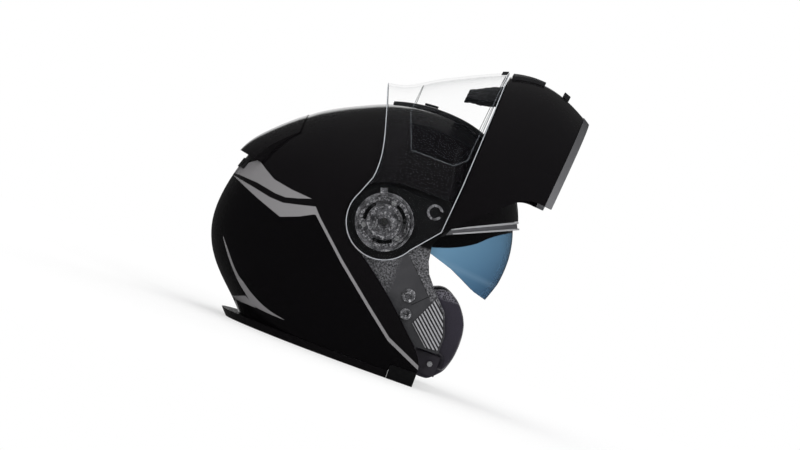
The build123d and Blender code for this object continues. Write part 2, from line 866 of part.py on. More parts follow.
def spring_catches():
    ring = Circle(far * 0.0215) - Circle(far * 0.015)
    gap = Rot(0, 0, 96) * Pos(-far * 0.02, 0) * Rectangle(far * 0.04, far * 0.014)
    face = Pos(far * 0.082, -far * 0.111) * (ring - gap)
    return both_sides([plate(face, arm_top + fit_gap, arm_top + arm_wall)])


def quick_lever():
    """Lever under the lens that frees the visor from its hub."""
    tab = Rot(0, 0, lever_angle) * Pos(far * 0.0665, 0) * Rectangle(far * 0.05, far * 0.02)
    face = (Circle(far * 0.046) + tab) - Circle(hub_radius + fit_gap)
    return plate(face, lever_low, lever_top)


def latch_hook():
    """Hook about its pin, with the claw behind the stud."""
    along = Vector(catch_x - hook_x, catch_z - hook_z)
    size = along.length
    turn = math.degrees(math.atan2(along.Y, along.X))
    face = Circle(size * 0.24) + polygon(
        [
            (0, size * 0.2), (size * 0.5, size * 0.16), (size * 0.62, size * 0.22),
            (size * 1.2, size * 0.22), (size * 1.2, -size * 0.08), (size * 1.3, -size * 0.1),
            (size * 1.4, size * 0.4), (size * 0.6, size * 0.42), (size * 0.2, size * 0.3),
            (-size * 0.2, size * 0.2),
        ]
    )
    face = face - Circle(size * 0.1 + fit_gap)
    return plate(Pos(hook_x, hook_z) * Rot(0, 0, turn) * face, hook_low, hook_top)


def hook_pins():
    size = (Vector(catch_x - hook_x, catch_z - hook_z)).length
    pin = disc(size * 0.1, hook_x, hook_z, hook_low - hair_gap, half_width) & dome(shell_wall + hair_gap)
    foot = disc(size * 0.17, hook_x, hook_z, hook_low - hair_gap * 5, hook_low - hair_gap)
    return both_sides([pin + foot])


# Visor body
def lens_face():
    corners = [(arm_radius * 0.3, arm_radius * 0.97), (-arm_radius * 0.6, -arm_radius * 0.8)] + lens_foot
    return bounded(lens_edge, corners) + Circle(arm_radius + trim_proud)


def lens_skin(depth, wall):
    """Layer that follows the lens, its outer face a depth below that of the lens."""
    outer = dome(depth, lens_outline_shares, lens_half)
    return outer - dome(depth + wall, lens_outline_shares, lens_half)


def visor_lens():
    whole = lens_skin(0, lens_wall) & through(lens_face())
    hole = disc(hub_radius + fit_gap * 2, 0, 0, 0, far)
    return biggest(whole - hole - other_side(hole))


def insert_lens():
    face = polygon(
        [
            (far * 0.205, far * 0.02), (far * 0.3, far * 0.067), (far, far * 0.09),
            (far, -far * 0.118), (far * 0.245, -far * 0.128), (far * 0.215, -far * 0.1),
        ]
    )
    return biggest(lens_skin(lens_wall + hair_gap, insert_wall) & through(face))


def visor_cams():
    out = []
    for start in cam_starts:
        p = at_angle(cam_orbit, start)
        out.append(disc(cam_radius, p.X, p.Y, arm_top + running_gap, lens_inner - fit_gap))
    return both_sides(out)


def visor_tab():
    skin = lens_skin(-trim_proud * 2, trim_proud * 2 - fit_gap)
    return biggest(skin & block(far / 3, far, -far * 0.05, far * 0.05, -far * 0.127, -far * 0.112))


# Sun visor body
def sun_visor_lens():
    arm = [(shade_pivot, -shade_arm), (shade_pivot - shade_arm, 0), (shade_pivot, shade_arm)]
    top = [(far * 0.088, far * 0.04), (far * 0.336, far * 0.134), (far * 0.44, far * 0.175)]
    whole = shade_shell(0) & through(polygon(shade_low + arm + top))
    nose = Pos(0, 0, shade_low[1][1]) * (Rot(0, 90, 0) * extrude(Ellipse(far * 0.06, far * 0.07), far))
    whole = whole - nose
    pin = disc(pin_radius + fit_gap, shade_pivot, 0, 0, far)
    return biggest(whole - pin - other_side(pin))


# Buckle of the chin strap
buckle_z = -buckle_share * pivot_height - far * 0.03
buckle_floor = buckle_z - buckle_wall
strap_far = strap_x + strap_width
hinge_y = -buckle_half * 0.62
hinge_z = buckle_z + buckle_wall * 2.6


def strap_anchors():
    tab = block(strap_x, strap_x + strap_width, far * 0.1725, far * 0.182, -far * 0.186, -far * 0.152)
    tab = tab.fillet(far * 0.004, tab.edges().filter_by(Axis.Y))
    return [tab, other_side(tab)]


def buckle_body():
    wide = buckle_wall + hair_gap
    half = buckle_half
    low, high = buckle_floor - buckle_wall, buckle_floor + buckle_height
    outer = block(strap_x - wide, strap_far + wide, -half, half, low, high)
    inner = block(strap_x - hair_gap, strap_far + hair_gap, -far, far, buckle_floor, far)
    body = outer - inner
    corner = block(-far, far, 0, far, buckle_floor + buckle_height * 0.5, far)
    hole = Pos(0, hinge_y, hinge_z) * (Rot(0, 90, 0) * Cylinder(buckle_pin_radius, far))
    return biggest(body - corner - hole)


def buckle_pin():
    wide = buckle_wall + hair_gap
    pin = Cylinder(buckle_pin_radius - fit_gap, strap_width + wide * 2)
    return Pos(strap_x + strap_width / 2, hinge_y, hinge_z) * (Rot(0, 90, 0) * pin)


def strap_tongue():
    low, high = buckle_floor + fit_gap, buckle_floor + buckle_wall
    side = strap_x + hair_gap
    tongue = block(side, strap_far - hair_gap, -buckle_half / 2, buckle_half, low, high)
    inset = strap_width / 4
    for i in range(5):
        y = -buckle_half * 0.3 + buckle_wall * 1.6 * i
        end = y + buckle_wall * 0.7
        groove = block(strap_x + inset, strap_far - inset, y, end, low + buckle_wall * 0.6, far)
        tongue = tongue - groove
    return biggest(tongue)


def buckle_lever():
    inset = hair_gap * 2
    low = hinge_z - buckle_wall * 0.9
    high = low + buckle_wall * 1.4
    lever = block(strap_x + inset, strap_far - inset, hinge_y, buckle_half * 1.04, low, high)
    eye = Rot(0, 90, 0) * Cylinder(buckle_pin_radius * 1.8, strap_width - inset * 2)
    lever = lever + Pos(strap_x + strap_width / 2, hinge_y, hinge_z) * eye
    hole = Pos(0, hinge_y, hinge_z) * (Rot(0, 90, 0) * Cylinder(buckle_pin_radius + fit_gap, far))
    return biggest(lever - hole)


# Building
def build_root():
    put(outer_shell(), "outer_shell")
    put(flank_step(), "flank_step")
    put(base_trim(), "base_trim")
    put(corner_trims(), "corner_trims")
    put(impact_liner(), "impact_liner")
    put(crown_pad(), "crown_pad")
    put_pair(cheek_pad(), "cheek_pad")
    put(neck_roll(), "neck_roll")
    put(brow_trim(), "brow_trim")
    put(brow_beads(), "brow_beads")
    put(crown_vent_cover(), "crown_vent_cover")
    put(crown_slider(), "crown_slider")
    put(rear_spoiler(), "rear_spoiler")
    put(rear_vent_insert(), "rear_vent_insert")
    put_pair(side_plate(), "side_plate")
    put(plate_bosses(), "plate_bosses")
    put(both_sides([side_grille()]), "side_grilles")
    put(both_sides([latch_bracket()]), "latch_brackets")
    put(latch_studs(), "latch_studs")
    put(pivot_bolts(), "pivot_bolts")
    put(pivot_nuts(), "pivot_nuts")
    put(pivot_bushes(), "pivot_bushes")
    put(shade_pins(), "shade_pins")
    put(slider_rail(), "slider_rail")
    put(shade_slider(), "shade_slider")


def build_strap():
    left = strap(buckle_half * 1.02 / far)
    put([left], "chin_strap_left")
    put([other_side(left)], "chin_strap_right")
    put(strap_anchors(), "strap_anchors")
    put(buckle_body(), "buckle_body")
    put(buckle_pin(), "buckle_pin")
    put(strap_tongue(), "strap_tongue")
    put(buckle_lever(), "buckle_lever")


def build_bar():
    put_bar(chin_bar_shell(), "chin_bar_shell")
    put_bar(chin_bar_liner(), "chin_bar_liner")
    put_bar(bar_base_trim(), "bar_base_trim")
    put_bar(release_button(), "release_button")
    put_bar(nose_vent_cover(), "nose_vent_cover")
    put_bar(nose_slider(), "nose_slider")
    put_bar(breath_deflector(), "breath_deflector")
    put_bar(visor_seal(), "visor_seal")
    put_pair(chin_arm(), "chin_arm", put_bar)
    put_pair(ratchet_plate(), "ratchet_plate", put_bar)
    put_bar(ratchet_screws(), "ratchet_screws")
    put_bar(pivot_caps(), "pivot_caps")
    put_bar(spring_catches(), "spring_catches")
    put_pair(quick_lever(), "quick_lever", put_bar)
    put_pair(latch_hook(), "latch_hook", put_bar)
    put_bar(hook_pins(), "hook_pins")


def build_lenses():
    put_bar(visor_lens(), "visor_lens")
    put_bar(insert_lens(), "insert_lens")
    put_bar(visor_cams(), "visor_cams")
    put_bar(visor_tab(), "visor_tab")
    put(sun_visor_lens(), "sun_visor_lens")


build_root()
build_strap()
build_bar()
build_lenses()
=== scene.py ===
"""Modular motorcycle helmet with its chin bar up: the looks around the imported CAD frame."""

import json
import math

import bmesh
import bpy
from bpy.props import FloatProperty, FloatVectorProperty, PointerProperty
from mathutils import Matrix, Vector, noise
from mathutils.bvhtree import BVHTree
from mathutils.geometry import interpolate_bezier

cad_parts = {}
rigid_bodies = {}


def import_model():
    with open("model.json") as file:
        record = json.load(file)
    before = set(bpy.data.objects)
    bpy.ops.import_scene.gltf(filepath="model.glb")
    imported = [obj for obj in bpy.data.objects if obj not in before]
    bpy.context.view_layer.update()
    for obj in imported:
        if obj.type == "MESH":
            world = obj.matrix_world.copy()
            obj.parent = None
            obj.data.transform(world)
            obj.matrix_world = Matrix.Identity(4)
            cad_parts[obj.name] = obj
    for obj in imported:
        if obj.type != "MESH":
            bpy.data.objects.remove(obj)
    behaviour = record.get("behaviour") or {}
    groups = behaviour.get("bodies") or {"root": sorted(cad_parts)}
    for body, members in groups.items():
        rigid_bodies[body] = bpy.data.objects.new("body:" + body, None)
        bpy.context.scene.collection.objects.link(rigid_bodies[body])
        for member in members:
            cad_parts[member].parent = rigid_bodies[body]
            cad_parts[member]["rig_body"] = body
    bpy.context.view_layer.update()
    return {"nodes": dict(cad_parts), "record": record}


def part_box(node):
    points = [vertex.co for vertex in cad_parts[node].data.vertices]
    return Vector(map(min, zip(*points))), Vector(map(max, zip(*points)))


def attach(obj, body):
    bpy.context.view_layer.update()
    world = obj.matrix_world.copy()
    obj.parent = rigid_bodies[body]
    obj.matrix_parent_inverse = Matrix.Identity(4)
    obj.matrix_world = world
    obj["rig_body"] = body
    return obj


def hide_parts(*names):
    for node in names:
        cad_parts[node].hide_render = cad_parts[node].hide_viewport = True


bl_info = {
    "name": "Modular helmet",
    "version": (1, 0, 0),
    "blender": (4, 5, 0),
    "location": "View3D > Sidebar > Helmet",
    "description": "Dresses the packed helmet with paint, lenses, padding and webbing",
    "category": "Object",
}

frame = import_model()

# Places shared with the CAD frame, in metres
PIVOT = Vector((0.003, 0, 0.1345))
MM = 0.001
WELD = 0.00002
STRAP_LEFT = 0.001
STRAP_WIDE = 0.024
MOST_SEAM_DEPTH = 0.003
STITCH_GAP = 0.0036
STITCH_LONG = 0.0022
STITCH_THICK = 0.0005
CLOTH_STEPS = 20


# Shader helpers
def tone(red, green, blue, alpha=1.0):
    """Screen colour from 0 to 255 as the linear colour that shaders take."""
    linear = []
    for value in (red, green, blue):
        share = value / 255
        linear.append(share / 12.92 if share <= 0.04045 else ((share + 0.055) / 1.055) ** 2.4)
    return (*linear, alpha)


class Signal:
    """One shader socket, which takes part in plain sums and products."""

    def __init__(self, finish, socket):
        self.finish = finish
        self.socket = socket

    def maths(self, operation, *values, clamp=False):
        settings = {"operation": operation, "use_clamp": clamp}
        return self.finish.add("ShaderNodeMath", settings, dict(enumerate((self, *values))))

    def __add__(self, other):
        return self.maths("ADD", other)

    def __sub__(self, other):
        return self.maths("SUBTRACT", other)

    def __mul__(self, other):
        return self.maths("MULTIPLY", other)

    def __truediv__(self, other):
        return self.maths("DIVIDE", other)

    def __pow__(self, other):
        return self.maths("POWER", other)

    def __rsub__(self, other):
        return (self * -1) + other

    def __neg__(self):
        return self * -1

    def __abs__(self):
        return self.maths("ABSOLUTE")

    __radd__ = __add__
    __rmul__ = __mul__

    def sine(self):
        return self.maths("SINE")

    def least(self, other):
        return self.maths("MINIMUM", other)

    def most(self, other):
        return self.maths("MAXIMUM", other)

    def clamped(self):
        return self.maths("MULTIPLY", 1.0, clamp=True)

    def above(self, level, soft):
        """1 where the signal is above a level, 0 below it, with a soft edge."""
        return ((self - level) / soft + 0.5).clamped()


class Finish:
    """A procedural material, or the world, built node by node."""

    def __init__(self, name, owner=None):
        self.material = owner or bpy.data.materials.new(name)
        self.material.use_nodes = True
        self.tree = self.material.node_tree
        self.tree.nodes.clear()

    def add(self, kind, settings=None, sockets=None, outlet=0):
        """New node: its settings first, then the values or links of its sockets."""
        node = self.tree.nodes.new(kind)
        for name, value in (settings or {}).items():
            if name == "stops":
                self.set_stops(node.color_ramp, value)
            elif name == "curve":
                self.set_curve(node.mapping, value)
            else:
                setattr(node, name, value)
        for name, value in (sockets or {}).items():
            if isinstance(value, Signal):
                self.tree.links.new(value.socket, node.inputs[name])
            else:
                node.inputs[name].default_value = value
        return Signal(self, node.outputs[outlet]) if len(node.outputs) else node

    @staticmethod
    def set_stops(ramp, stops):
        while len(ramp.elements) < len(stops):
            ramp.elements.new(0.5)
        for element, (place, colour) in zip(ramp.elements, stops):
            element.position = place
            element.color = colour

    @staticmethod
    def set_curve(mapping, shape):
        points, handle = shape
        line = mapping.curves[0]
        while len(line.points) < len(points):
            line.points.new(0.5, 0.5)
        for point, place in zip(line.points, points):
            point.location = place
            point.handle_type = handle
        mapping.update()

    def place(self):
        return self.add("ShaderNodeTexCoord", outlet="Object")

    def parts(self, vector):
        node = self.add("ShaderNodeSeparateXYZ", sockets={0: vector}).socket.node
        return [Signal(self, socket) for socket in node.outputs]

    def noise(self, point, scale, detail=3.0, roughness=0.55):
        sockets = {"Vector": point, "Scale": scale, "Detail": detail, "Roughness": roughness}
        return self.add("ShaderNodeTexNoise", sockets=sockets)

    def cells(self, point, scale, feature="F1", random=1.0):
        sockets = {"Vector": point, "Scale": scale, "Randomness": random}
        return self.add("ShaderNodeTexVoronoi", {"feature": feature}, sockets)

    def mix(self, share, first, second):
        return self.add("ShaderNodeMix", {"data_type": "RGBA"}, {0: share, 6: first, 7: second}, outlet=2)

    def line(self, along, points, low, high, handle="AUTO_CLAMPED"):
        """Curve through (along, value) points, in their own units: smooth, or straight with VECTOR."""
        left, right = points[0][0], points[-1][0]
        share = ((along - left) / (right - left)).clamped()
        table = [((x - left) / (right - left), (y - low) / (high - low)) for x, y in points]
        return self.add("ShaderNodeFloatCurve", {"curve": (table, handle)}, {"Value": share}) * (high - low) + low

    def bump(self, height, distance, strength=1.0, under=None):
        sockets = {"Height": height, "Distance": distance, "Strength": strength}
        if under is not None:
            sockets["Normal"] = under
        return self.add("ShaderNodeBump", sockets=sockets)

    def close(self, **sockets):
        """Principled surface with its sockets, and the material output."""
        names = {name.replace("_", " "): value for name, value in sockets.items()}
        names = {("Specular IOR Level" if n == "Specular" else n): v for n, v in names.items()}
        shader = self.add("ShaderNodeBsdfPrincipled", sockets=names)
        self.output(shader)
        return self.material

    def output(self, shader, kind="ShaderNodeOutputMaterial"):
        node = self.tree.nodes.new(kind)
        self.tree.links.new(shader.socket, node.inputs["Surface"])

    def seen(self):
        """1 for the rays that show the background: from the camera, in gloss and through glass."""
        kinds = ("Is Camera Ray", "Is Glossy Ray", "Is Transmission Ray")
        camera, glossy, through = [self.add("ShaderNodeLightPath", outlet=kind) for kind in kinds]
        return (camera + glossy + through).clamped()


# Mesh helpers
def new_piece(name, mesh, body, finish):
    """Object at the origin from a bmesh, riding on a CAD body."""
    data = bpy.data.meshes.new(name)
    mesh.to_mesh(data)
    mesh.free()
    piece = bpy.data.objects.new(name, data)
    bpy.context.scene.collection.objects.link(piece)
    data.materials.append(finish)
    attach(piece, body)
    return piece


def merged(node):
    """Copy of a CAD node's loose triangles as one closed bmesh."""
    mesh = bmesh.new()
    mesh.from_mesh(frame["nodes"][node].data)
    bmesh.ops.remove_doubles(mesh, verts=mesh.verts, dist=WELD)
    bmesh.ops.dissolve_degenerate(mesh, edges=mesh.edges, dist=WELD / 4)
    return mesh


def smooth_edges(mesh, sharp):
    """Smooth faces, with the edges sharper than an angle kept crisp."""
    for face in mesh.faces:
        face.smooth = True
    for edge in mesh.edges:
        edge.smooth = len(edge.link_faces) == 2 and edge.calc_face_angle(math.pi) < sharp


def body_of_node(node):
    return frame["nodes"][node]["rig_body"]


def smooth_skin(node, name, finish, sharp=28):
    """Merged copy of a hard CAD node with smooth faces and crisp real edges."""
    mesh = merged(node)
    smooth_edges(mesh, math.radians(sharp))
    piece = new_piece(name, mesh, body_of_node(node), finish)
    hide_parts(node)
    weight = piece.modifiers.new("Weighted", "WEIGHTED_NORMAL")
    weight.keep_sharp = True
    return piece


def settle(piece):
    """Make the modifiers' result the piece's own mesh."""
    graph = bpy.context.evaluated_depsgraph_get()
    data = bpy.data.meshes.new_from_object(piece.evaluated_get(graph))
    piece.modifiers.clear()
    piece.data = data


def surface_of(piece):
    mesh = bmesh.new()
    mesh.from_mesh(piece.data)
    tree = BVHTree.FromBMesh(mesh)
    mesh.free()
    return tree


# Finishes
def gloss_coat(finish, base, roughness=0.32, under=None):
    """Clear-coated paint with a faint orange peel under the coat."""
    point = finish.place()
    peel = finish.bump(finish.noise(point, 900, 2), 0.00003, 0.25, under)
    dust = finish.noise(point, 60, 6, 0.7).above(0.66, 0.25)
    return finish.close(
        Base_Color=base, Roughness=dust * 0.12 + roughness, Specular=0.08,
        Coat_Weight=1.0, Coat_Roughness=0.035, Normal=peel,
    )


# Ribs of the side grilles: middle, direction and pitch in the side view
RIB_CENTRE = (72.7, -76.0)
RIB_ANGLE = math.radians(42)
RIB_PITCH = 3.01


def black_paint():
    finish = Finish("gloss_black_paint")
    look = bpy.context.scene.helmet_colours
    cloudy = finish.noise(finish.place(), 14, 4)
    base = finish.mix(cloudy, (*look.black, 1), (*[c * 1.5 for c in look.black], 1))
    return gloss_coat(finish, base)


# Outlines of the grey stripes in the side view, in mm from the pivot
UPPER_BAND_TOP = (
    (-150, 3.0), (-143.5, 5.4), (-129.6, 14.5), (-121, 8.9),
    (-109, 2.2), (-90, -1.2), (-69.7, -2.8),
)
UPPER_BAND_LOW = (
    (-150, -5.2), (-142.8, -5.0), (-123.1, -6.1), (-103.5, -9.6),
    (-93.4, -9.9), (-82, -6.9), (-69.7, -2.8),
)
LOWER_BAND_TOP = (
    (-150, -7.0), (-126.5, -10.9), (-106.8, -14.7), (-93.6, -15.3),
    (-78.8, -12.0), (-63.7, -8.3), (-57.5, -15.2),
)
LOWER_BAND_LOW = (
    (-150, -7.6), (-145.5, -8.7), (-118.4, -19.2), (-91.8, -28.4),
    (-75, -22.0), (-63, -15.7), (-57.5, -15.4),
)
THIN_LINE = ((-61, -13.8), (-24.3, -47.2), (13.3, -78.1), (40.3, -99.6), (76, -116))
WEDGE_TOP = (
    (-137, -64.0), (-135.4, -65.7), (-112.1, -92.2), (-104.9, -97.1),
    (-92.1, -105.3), (-75, -112.6), (-56.1, -116.4),
)
WEDGE_LOW = (
    (-137, -64.4), (-135.4, -67.0), (-112.1, -96.0), (-98.3, -107.6),
    (-90.1, -113.6), (-75, -116.2), (-56.1, -116.6),
)
LOW_PATCH_TOP = ((-114, -116), (-112, -114.6), (-98.4, -109), (-85.2, -115.9))
LOW_PATCH_LOW = ((-114, -116), (-100, -116.2), (-85.2, -116))
# Upper edge of the painted shade that darkens the black of the lower shell, in mm from the pivot
SHADED_FIELD_TOP = ((-150, -8), (-118, -19), (-92, -28), (-60, -15), (-24.3, -47.2), (40.3, -99.6), (76, -116))


def striped_paint():
    """Black coat with the grey stripes of both sides, laid out in the side view from the pivot, and painted shade
    that darkens the black below them.
    """
    finish = Finish("striped_black_paint")
    look = bpy.context.scene.helmet_colours
    point = finish.place()
    x, _, z = finish.parts(point)
    along = (x - PIVOT.x) / MM
    up = (z - PIVOT.z) / MM
    soft = 0.35

    def between(top, low, left, right, handle="VECTOR"):
        upper = finish.line(along, top, -150, 50, handle)
        lower = finish.line(along, low, -150, 50, handle)
        inside = (upper - up).above(0, soft).least((up - lower).above(0, soft))
        return inside.least(along.above(left, soft)).least(1 - along.above(right, soft))

    bands = between(UPPER_BAND_TOP, UPPER_BAND_LOW, -150, -69.7)
    bands = bands.most(between(LOWER_BAND_TOP, LOWER_BAND_LOW, -150, -57.7))
    bands = bands.most(between(WEDGE_TOP, WEDGE_LOW, -137, -56.1, "AUTO_CLAMPED"))
    bands = bands.most(between(LOW_PATCH_TOP, LOW_PATCH_LOW, -113, -85.4))
    middle = finish.line(along, THIN_LINE, -150, 50, "VECTOR")
    thin = (1.75 - abs(up - middle)).above(0, soft).least(along.above(-60.6, soft))
    bands = bands.most(thin)
    # Painted shade: below this line, on the lower and rear shell, the black is darkened.
    painted_shade_edge = finish.line(along, SHADED_FIELD_TOP, -150, 50, "VECTOR")
    painted_darkening = (painted_shade_edge - up).above(0, 1.2)
    cloudy = finish.noise(point, 14, 4)
    black = finish.mix(cloudy, (*look.black, 1), (*[c * 1.5 for c in look.black], 1))
    black = finish.mix(painted_darkening * 0.75, black, (0.0016, 0.0013, 0.0019, 1))
    flake = finish.cells(point, 2600).above(0.5, 0.4)
    grey = finish.mix(flake * 0.25 + cloudy * 0.3, (*look.stripe, 1), (*[c * 1.35 for c in look.stripe], 1))
    fade = ((along + 150) / 95).clamped() * 0.35
    grey = finish.mix(fade, grey, (*[c * 1.45 for c in look.stripe], 1))
    step = finish.bump(bands, 0.00004, 0.4)
    return gloss_coat(finish, finish.mix(bands, black, grey), under=step)


def moulded_plastic(name, colour, roughness=0.5, grain=1400, depth=0.00006, specular=0.5):
    """Grained moulded plastic, a little paler where it is rubbed."""
    finish = Finish(name)
    point = finish.place()
    fine = finish.cells(point, grain)
    cloudy = finish.noise(point, 25, 5, 0.6)
    rubbed = finish.noise(point, 140, 5, 0.7).above(0.62, 0.2)
    base = finish.mix(cloudy, (*[c * 0.8 for c in colour], 1), (*[c * 1.2 for c in colour], 1))
    base = finish.mix(rubbed * 0.25, base, (*[min(1, c * 1.6 + 0.01) for c in colour], 1))
    rough = cloudy * 0.12 + (roughness - 0.06)
    return finish.close(Base_Color=base, Roughness=rough, Specular=specular, Normal=finish.bump(fine, depth, 0.5))


def flank_plate():
    """Side plate: speckled moulding with a smoother panel between its two seams."""
    finish = Finish("textured_side_plate")
    point = finish.place()
    x, _, z = finish.parts(point)
    along = (x - PIVOT.x) / MM
    up = (z - PIVOT.z) / MM
    front_seam = along + up - 10.85
    low_seam = up - along + 112.35
    rear = (along - 24.5).above(0, 7) * -1 + 1
    rough = rear.most(front_seam.above(0, 1.2)) * up.above(-64, 3)
    speckle = finish.noise(point, 560, 4, 0.85)
    cloudy = finish.noise(point, 60, 4)
    panel = finish.mix(cloudy, tone(46, 46, 49), tone(74, 74, 77))
    grit = finish.mix(speckle.above(0.54, 0.2), tone(36, 36, 38), tone(136, 136, 140))
    base = finish.mix(rough, panel, grit)
    base = finish.mix(up.above(-10, 2), base, tone(13, 13, 14))
    ends = along.above(34, 1) * (1 - along.above(62, 1))
    low_ends = along.above(49, 1) * (1 - along.above(63, 1))
    upper_line = (0.55 - abs(front_seam)).above(0, 0.3) * ends * 0.6
    lower_line = (0.5 - abs(low_seam)).above(0, 0.3) * low_ends * 0.8
    seams = upper_line.most(lower_line)
    base = finish.mix(seams, base, tone(14, 14, 15))
    height = speckle * rough - seams * 2
    bump = finish.bump(height, 0.00012, 0.7)
    return finish.close(Base_Color=base, Roughness=cloudy * 0.15 + 0.4, Specular=0.45, Normal=bump)


def bar_band():
    """Grey band of the chin bar, satin, with painted shading: darker at its upper end and paler towards its lower
    end with the bar up.
    """
    finish = Finish("satin_grey_paint")
    look = bpy.context.scene.helmet_colours
    point = finish.place()
    x, _, z = finish.parts(point)
    # Painted shading: the band runs from dark at its top to pale at its lower end with the bar up.
    painted_light_gradient = (((x - PIVOT.x) * -0.34 - (z - PIVOT.z) * 0.94) / MM / 95 + 2.1).clamped()
    cloudy = finish.noise(point, 30, 5, 0.65)
    scuff = finish.noise(point, 150, 6, 0.75).above(0.66, 0.15)
    low = (*[c * 0.55 for c in look.base_grey], 1)
    high = (*[c * 1.55 for c in look.base_grey], 1)
    base = finish.mix((painted_light_gradient + cloudy * 0.3 - 0.15).clamped(), low, high)
    base = finish.mix(scuff * 0.2, base, tone(150, 150, 152))
    peel = finish.bump(finish.noise(point, 1500, 2), 0.00002, 0.3)
    return finish.close(Base_Color=base, Roughness=cloudy * 0.15 + 0.3, Specular=0.5, Normal=peel)


def ribbed_grille():
    """Grille whose ribs carry painted highlights: bright lines along their tops."""
    finish = Finish("grille_plastic_painted_highlights")
    point = finish.place()
    x, _, z = finish.parts(point)
    ahead = (x - PIVOT.x) / MM - RIB_CENTRE[0]
    raised = (z - PIVOT.z) / MM - RIB_CENTRE[1]
    across = ahead * math.sin(RIB_ANGLE) + raised * math.cos(RIB_ANGLE)
    # Painted highlight: a bright line along each rib's top, made uneven by the noise that also varies the
    # plastic.
    painted_crest_highlight = (across * (math.tau / RIB_PITCH) + math.pi * 1.5).sine().above(0.1, 0.7)
    worn = finish.noise(point, 900, 4, 0.7)
    base = finish.mix(worn, tone(24, 24, 26), tone(48, 48, 51))
    base = finish.mix(painted_crest_highlight * (worn * 0.8 + 0.35), base, tone(186, 186, 190))
    bump = finish.bump(worn, 0.00006, 0.5)
    return finish.close(Base_Color=base, Roughness=worn * 0.2 + 0.35, Specular=0.5, Normal=bump)


def cast_metal(name, low, high, painted_sparkles):
    """Cast mechanism metal: turned grooves and serrations about the pivot, with painted shade in the grooves and
    between the teeth, and painted glints as bright flecks.
    """
    finish = Finish(name)
    point = finish.place()
    x, _, z = finish.parts(point)
    along = (x - PIVOT.x) / MM
    up = (z - PIVOT.z) / MM
    away = (along * along + up * up) ** 0.5
    grooves = (away * (math.tau / 1.7)).sine()
    ring = away.above(19.2, 0.6) - away.above(23.2, 0.6)
    teeth = (up.maths("ARCTAN2", along) * 54).sine().above(0, 0.6) * ring
    cast = finish.noise(point, 330, 5, 0.75)
    patch = finish.noise(point, 110, 3, 0.6).above(0.52, 0.16)
    zone = (away * (math.tau / 6.8) + 0.6).sine().above(0.1, 0.9)
    # Painted glints: bright flecks in rings about the pivot and in patches.
    painted_sparkle = finish.noise(point, 520, 5, 0.8).above(0.55, 0.08) * (zone * 0.8 + patch * 0.5).clamped()
    base = finish.mix((cast * 0.6 + patch * 0.5 - 0.1).clamped(), low, high)
    # Painted shade: the hollows of the grooves and the gaps between the teeth are darkened.
    base = finish.mix(grooves.above(0.55, 0.6) * 0.45, base, tone(14, 14, 15))
    base = finish.mix(teeth * 0.5, base, tone(20, 20, 21))
    base = finish.mix(painted_sparkle * painted_sparkles, base, tone(214, 214, 218))
    height = grooves * 0.3 + teeth * 0.6 + cast * 0.5
    bump = finish.bump(height, 0.0002, 0.8)
    return finish.close(Base_Color=base, Roughness=cast * 0.2 + 0.28, Metallic=0.25, Specular=0.55, Normal=bump)


def brushed(name, colour, roughness, metallic):
    """Metal with fine streaks along its height."""
    finish = Finish(name)
    point = finish.place()
    stretched = finish.add("ShaderNodeMapping", sockets={"Vector": point, "Scale": (1.0, 1.0, 22.0)})
    streak = finish.noise(stretched, 160, 4, 0.6)
    base = finish.mix(streak, (*[c * 0.75 for c in colour], 1), (*colour, 1))
    rough = streak * 0.2 + (roughness - 0.08)
    bump = finish.bump(streak, 0.00002, 0.3)
    return finish.close(Base_Color=base, Roughness=rough, Metallic=metallic, Normal=bump)


def rubber():
    finish = Finish("soft_black_rubber")
    point = finish.place()
    bloom = finish.noise(point, 35, 5, 0.65)
    base = finish.mix(bloom, tone(22, 22, 23), tone(38, 38, 40))
    bump = finish.bump(finish.noise(point, 2200, 2), 0.00004, 0.4)
    return finish.close(Base_Color=base, Roughness=bloom * 0.15 + 0.55, Specular=0.35, Normal=bump)


def bead_foam():
    """Expanded bead foam: flattened cells with dark joints."""
    finish = Finish("expanded_bead_foam")
    point = finish.place()
    joint = finish.cells(point, 330, "DISTANCE_TO_EDGE").maths("MULTIPLY", 4.0, clamp=True)
    shade = finish.cells(point, 330)
    base = finish.mix(joint, tone(16, 16, 17), tone(40, 40, 42))
    base = finish.mix(shade * 0.5, base, tone(54, 54, 56))
    return finish.close(Base_Color=base, Roughness=0.78, Specular=0.25, Normal=finish.bump(joint, 0.0004, 0.6))


def knit(name, colour, pitch=0.0016, depth=0.0002):
    """Knitted comfort cloth: rows of loops in all three directions, with a soft nap."""
    finish = Finish(name)
    point = finish.place()
    x, y, z = finish.parts(point)
    turn = math.tau / pitch
    rows = (x * turn).sine() * (z * turn).sine() + (y * turn).sine() * (z * turn + 1.6).sine() * 0.8
    loops = (rows * 0.5 + 0.5).clamped()
    nap = finish.noise(point, 420, 5, 0.7)
    worn = finish.noise(point, 22, 4)
    dark = (*[c * 0.45 for c in colour], 1)
    pale = (*[c * 1.3 for c in colour], 1)
    base = finish.mix((loops * 0.6 + nap * 0.4).clamped(), dark, pale)
    base = finish.mix(worn * 0.25, base, (*[c * 1.5 for c in colour], 1))
    height = loops + nap * 0.5
    return finish.close(
        Base_Color=base, Roughness=0.86, Specular=0.2, Sheen_Weight=0.35, Sheen_Roughness=0.4,
        Normal=finish.bump(height, depth, 0.8),
    )


